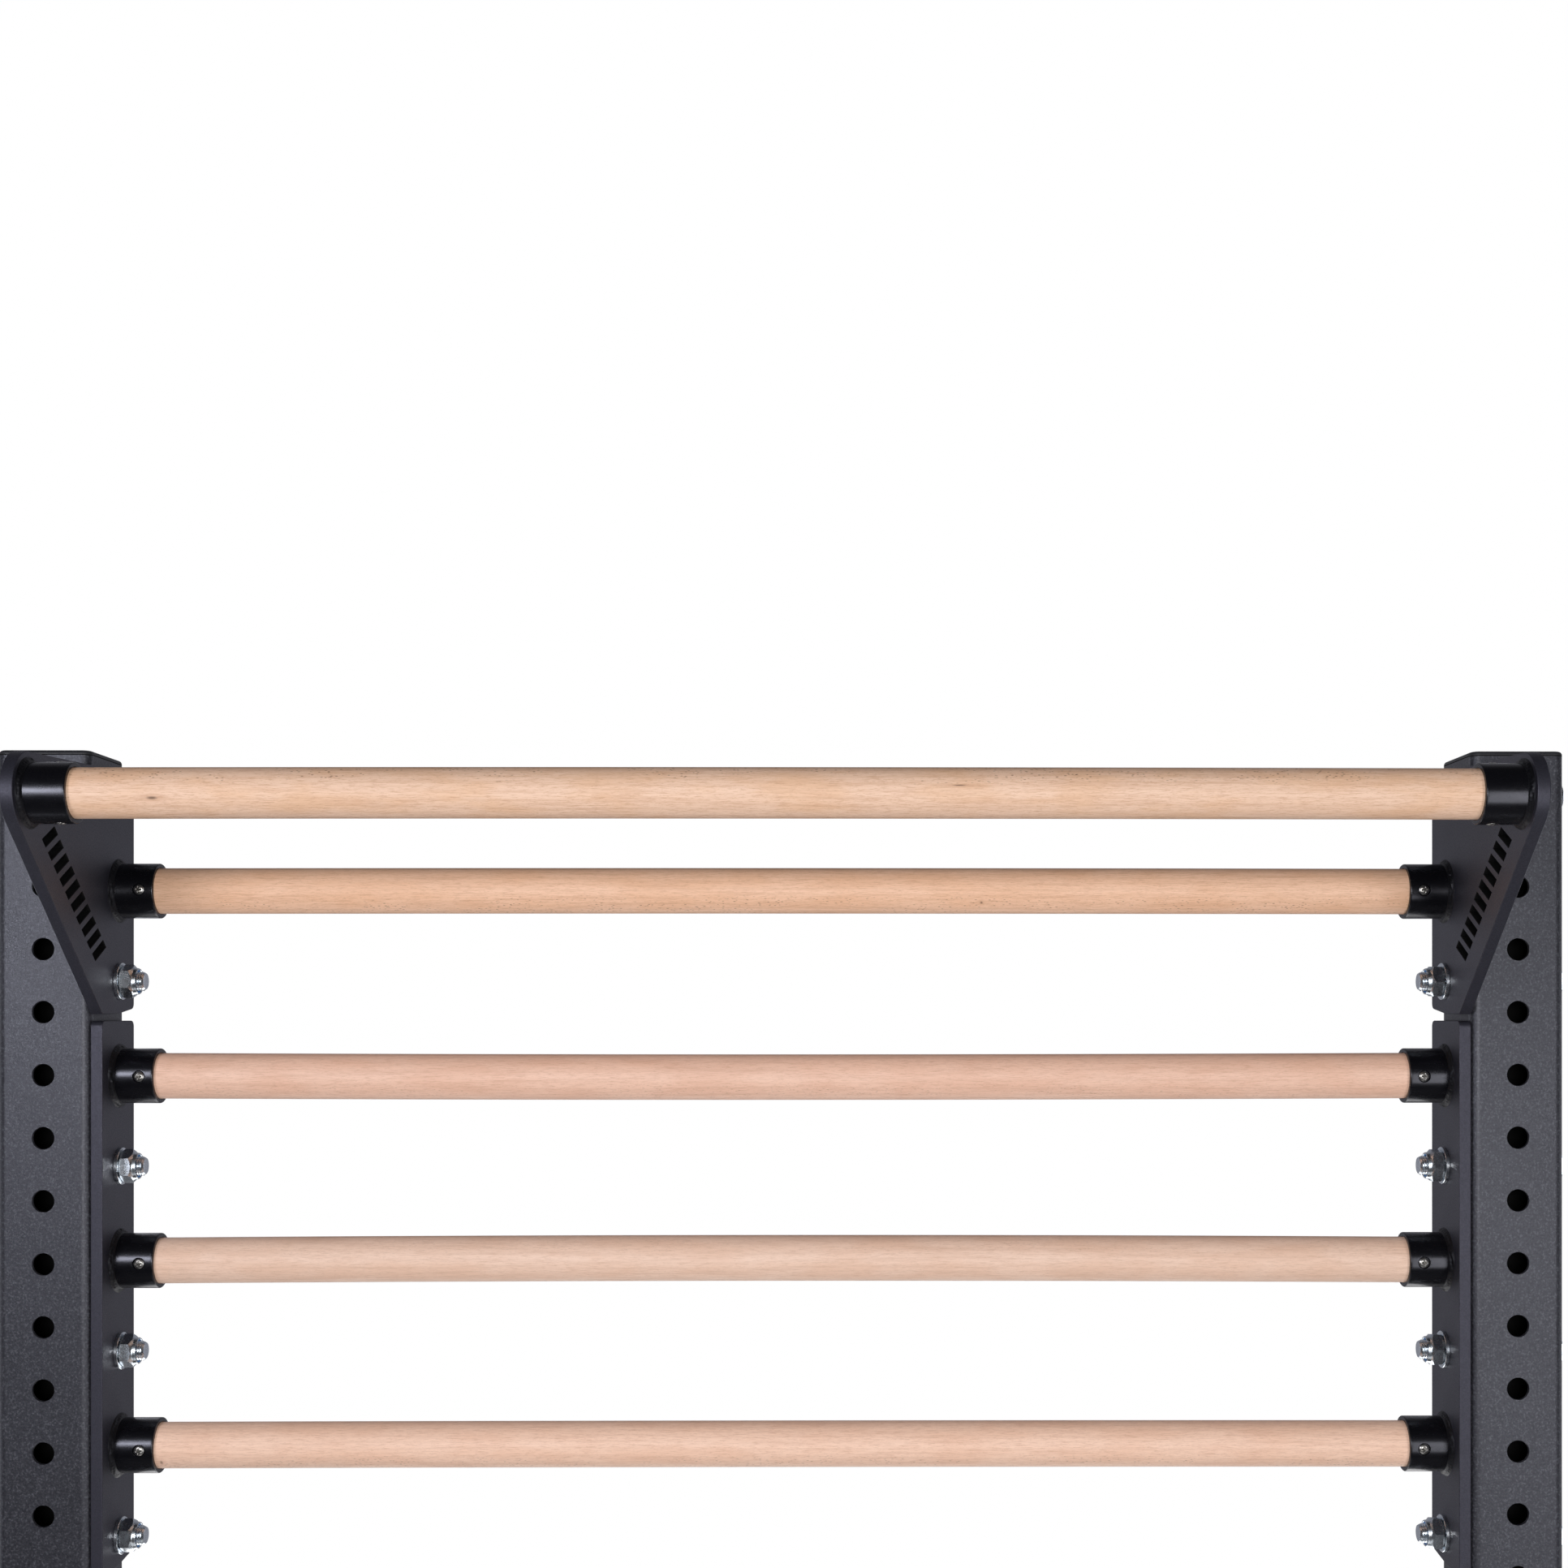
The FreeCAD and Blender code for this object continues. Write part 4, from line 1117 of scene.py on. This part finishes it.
# how far each bar's middle stands above its ends
BOWS = {"pull_up_bar": 0.5, "rung_1": 0.4, "rung_2": -1.2, "rung_3": 1.7, "rung_4": 0.4}
# knots: distance along the bar from its middle, height and half lengths
KNOTS = {
    "pull_up_bar": ((-445, -5.3, 5.5, 1.6), (130, 4, 7, 0.7)),
    "rung_1": ((160, -10, 1.6, 1.3),),
    "rung_4": ((-500, -11, 1.8, 2.6),),
}



def add_bar(name, seed):
    """A wooden bar with its own grain and knots."""
    low, high = box_mm(name)
    x, y, z = middle(name)
    deep = TINTS[name][2]
    finish, colour, gloss, relief = beech("beech_" + name, (x, y, z), seed, TINTS[name],
                                          FLECKS[name])
    for along, rise, long, tall in KNOTS.get(name, ()):
        front = (x + along, low.y + 1, z + rise)
        halo = spot_on(finish, front, (long * 3.4, 12, tall * 2.6), 0.45)
        colour = finish.mix(halo, colour, deep)
        core = spot_on(finish, front, (long, 8, tall), 0.85)
        colour = finish.mix(core, colour, tuple(value * 0.25 for value in deep))
    wood = finish.surface(Base_Color=colour, Roughness=gloss, Normal=relief)
    shape = Shape()
    wooden_bar(shape, low.x, high.x, y, z, BOWS[name])
    add_piece(name + "_wood", shape, [wood], name)


for seed, name in enumerate(TINTS, start=11):
    add_bar(name, seed)


# ---- floor, light and camera, in metres -----------------------------------------------------

FLOOR_RADIUS = 3.6
scene = bpy.context.scene
scene.view_settings.view_transform = "Standard"


def add_floor():
    """A floor that fades into the white surroundings; it looks pale, and reflects less."""
    sheet = bpy.data.meshes.new("floor")
    disc = bmesh.new()
    bmesh.ops.create_circle(disc, cap_ends=True, segments=128, radius=FLOOR_RADIUS)
    disc.to_mesh(sheet)
    disc.free()
    finish = Finish("floor_paint")
    away = finish.add("VectorMath", {0: finish.here()}, output="Value", operation="LENGTH")
    rim = finish.fade(finish.math("DIVIDE", away, FLOOR_RADIUS), 0.35, 1.0, 0.30, 0.95)
    seen = finish.add("LightPath", {}, output="Is Camera Ray")
    paint = finish.add("BsdfDiffuse", {"Color": finish.mix(
        seen, (0.22, 0.22, 0.22), (0.6, 0.6, 0.595))})
    glow = finish.add("Emission", {"Color": (1, 1, 1, 1), "Strength": 1.0})
    mixed = finish.add("MixShader", {0: finish.math("MULTIPLY", rim, seen), 1: paint, 2: glow})
    finish.add("OutputMaterial", {"Surface": mixed})
    sheet.materials.append(finish.block)
    floor = bpy.data.objects.new("floor", sheet)
    scene.collection.objects.link(floor)


def add_softbox(name, place, target, width, height, power, tone):
    """A large soft area light that the camera doesn't see."""
    light = bpy.data.lights.new(name, "AREA")
    light.shape = "RECTANGLE"
    light.size, light.size_y = width, height
    light.energy, light.color = power, tone
    lamp = bpy.data.objects.new(name, light)
    lamp.location = place
    lamp.rotation_euler = (Vector(target) - Vector(place)).to_track_quat("-Z", "Y").to_euler()
    lamp.visible_camera = False
    scene.collection.objects.link(lamp)


def add_surroundings():
    """White to the camera; as a light, bright behind the station and dim in front of it."""
    studio = Finish("studio", "worlds")
    scene.world = studio.block
    around = studio.add("TexCoord", {}, output="Generated")
    behind = studio.add("SeparateXYZ", {0: around}, output="Y")
    tone = studio.ramp(behind, ((0.25, (0.10, 0.10, 0.11)), (0.8, (0.90, 0.90, 1.0))), "LINEAR")
    light = studio.add("Background", {"Color": tone, "Strength": 0.31})
    white = studio.add("Background", {"Color": (1, 1, 1, 1)})
    seen = studio.add("LightPath", {}, output="Is Camera Ray")
    mixed = studio.add("MixShader", {0: seen, 1: light, 2: white})
    studio.add("OutputWorld", {"Surface": mixed})


WHITE = (1, 1, 1)
COOL = (0.90, 0.92, 1.0)
NEUTRAL = (0.96, 0.97, 1.0)

add_floor()
add_surroundings()
# place, target, width, height, power and tone of each light
SOFTBOXES = {
    "key": ((0.03, -2.3, 2.06), (0, 0, 2.05), 0.45, 0.45, 30, WHITE),
    "left_high": ((-1.3, -1.7, 2.35), (-0.5, 0, 2.1), 0.5, 0.4, 11.5, COOL),
    "left": ((-1.3, -1.7, 2.15), (-0.5, 0, 1.9), 0.5, 0.4, 5.5, COOL),
    "right": ((1.3, -1.7, 1.95), (0.5, 0, 1.9), 0.5, 0.6, 7, NEUTRAL),
    "right_low": ((1.3, -1.7, 1.3), (0.5, 0, 1.6), 0.6, 0.7, 7, NEUTRAL),
    "low": ((0, 1.2, 0.3), (0, 0, 1.9), 2.4, 0.9, 18, WHITE),
    "near_low": ((0, -0.25, 0.9), (0, -0.05, 2.0), 1.2, 0.5, 1.5, WHITE),
    "back_left": ((-1.6, 1.5, 2.0), (0.5, 0, 2.0), 1.2, 1.6, 11.5, COOL),
    "back_right": ((1.6, 1.5, 2.0), (-0.5, 0, 2.0), 1.2, 1.6, 10, COOL),
    "left_side": ((-1.35, 0.05, 1.25), (-0.65, 0.05, 1.25), 0.12, 2.0, 2.5, COOL),
    "right_side": ((1.35, 0.05, 1.25), (0.65, 0.05, 1.25), 0.12, 2.0, 2.5, COOL),
}
for name, settings in SOFTBOXES.items():
    add_softbox(name + "_softbox", *settings)

camera_data = bpy.data.cameras.new("camera")
camera_data.sensor_width = 36
camera_data.lens = 44.35
camera_data.shift_x = -0.0348
camera_data.shift_y = 0.1454
camera = bpy.data.objects.new("camera", camera_data)
camera.location = (0.0355, -1.5202, 2.0421)
camera.rotation_euler = (math.radians(90), 0, -0.006)
scene.collection.objects.link(camera)
scene.camera = camera
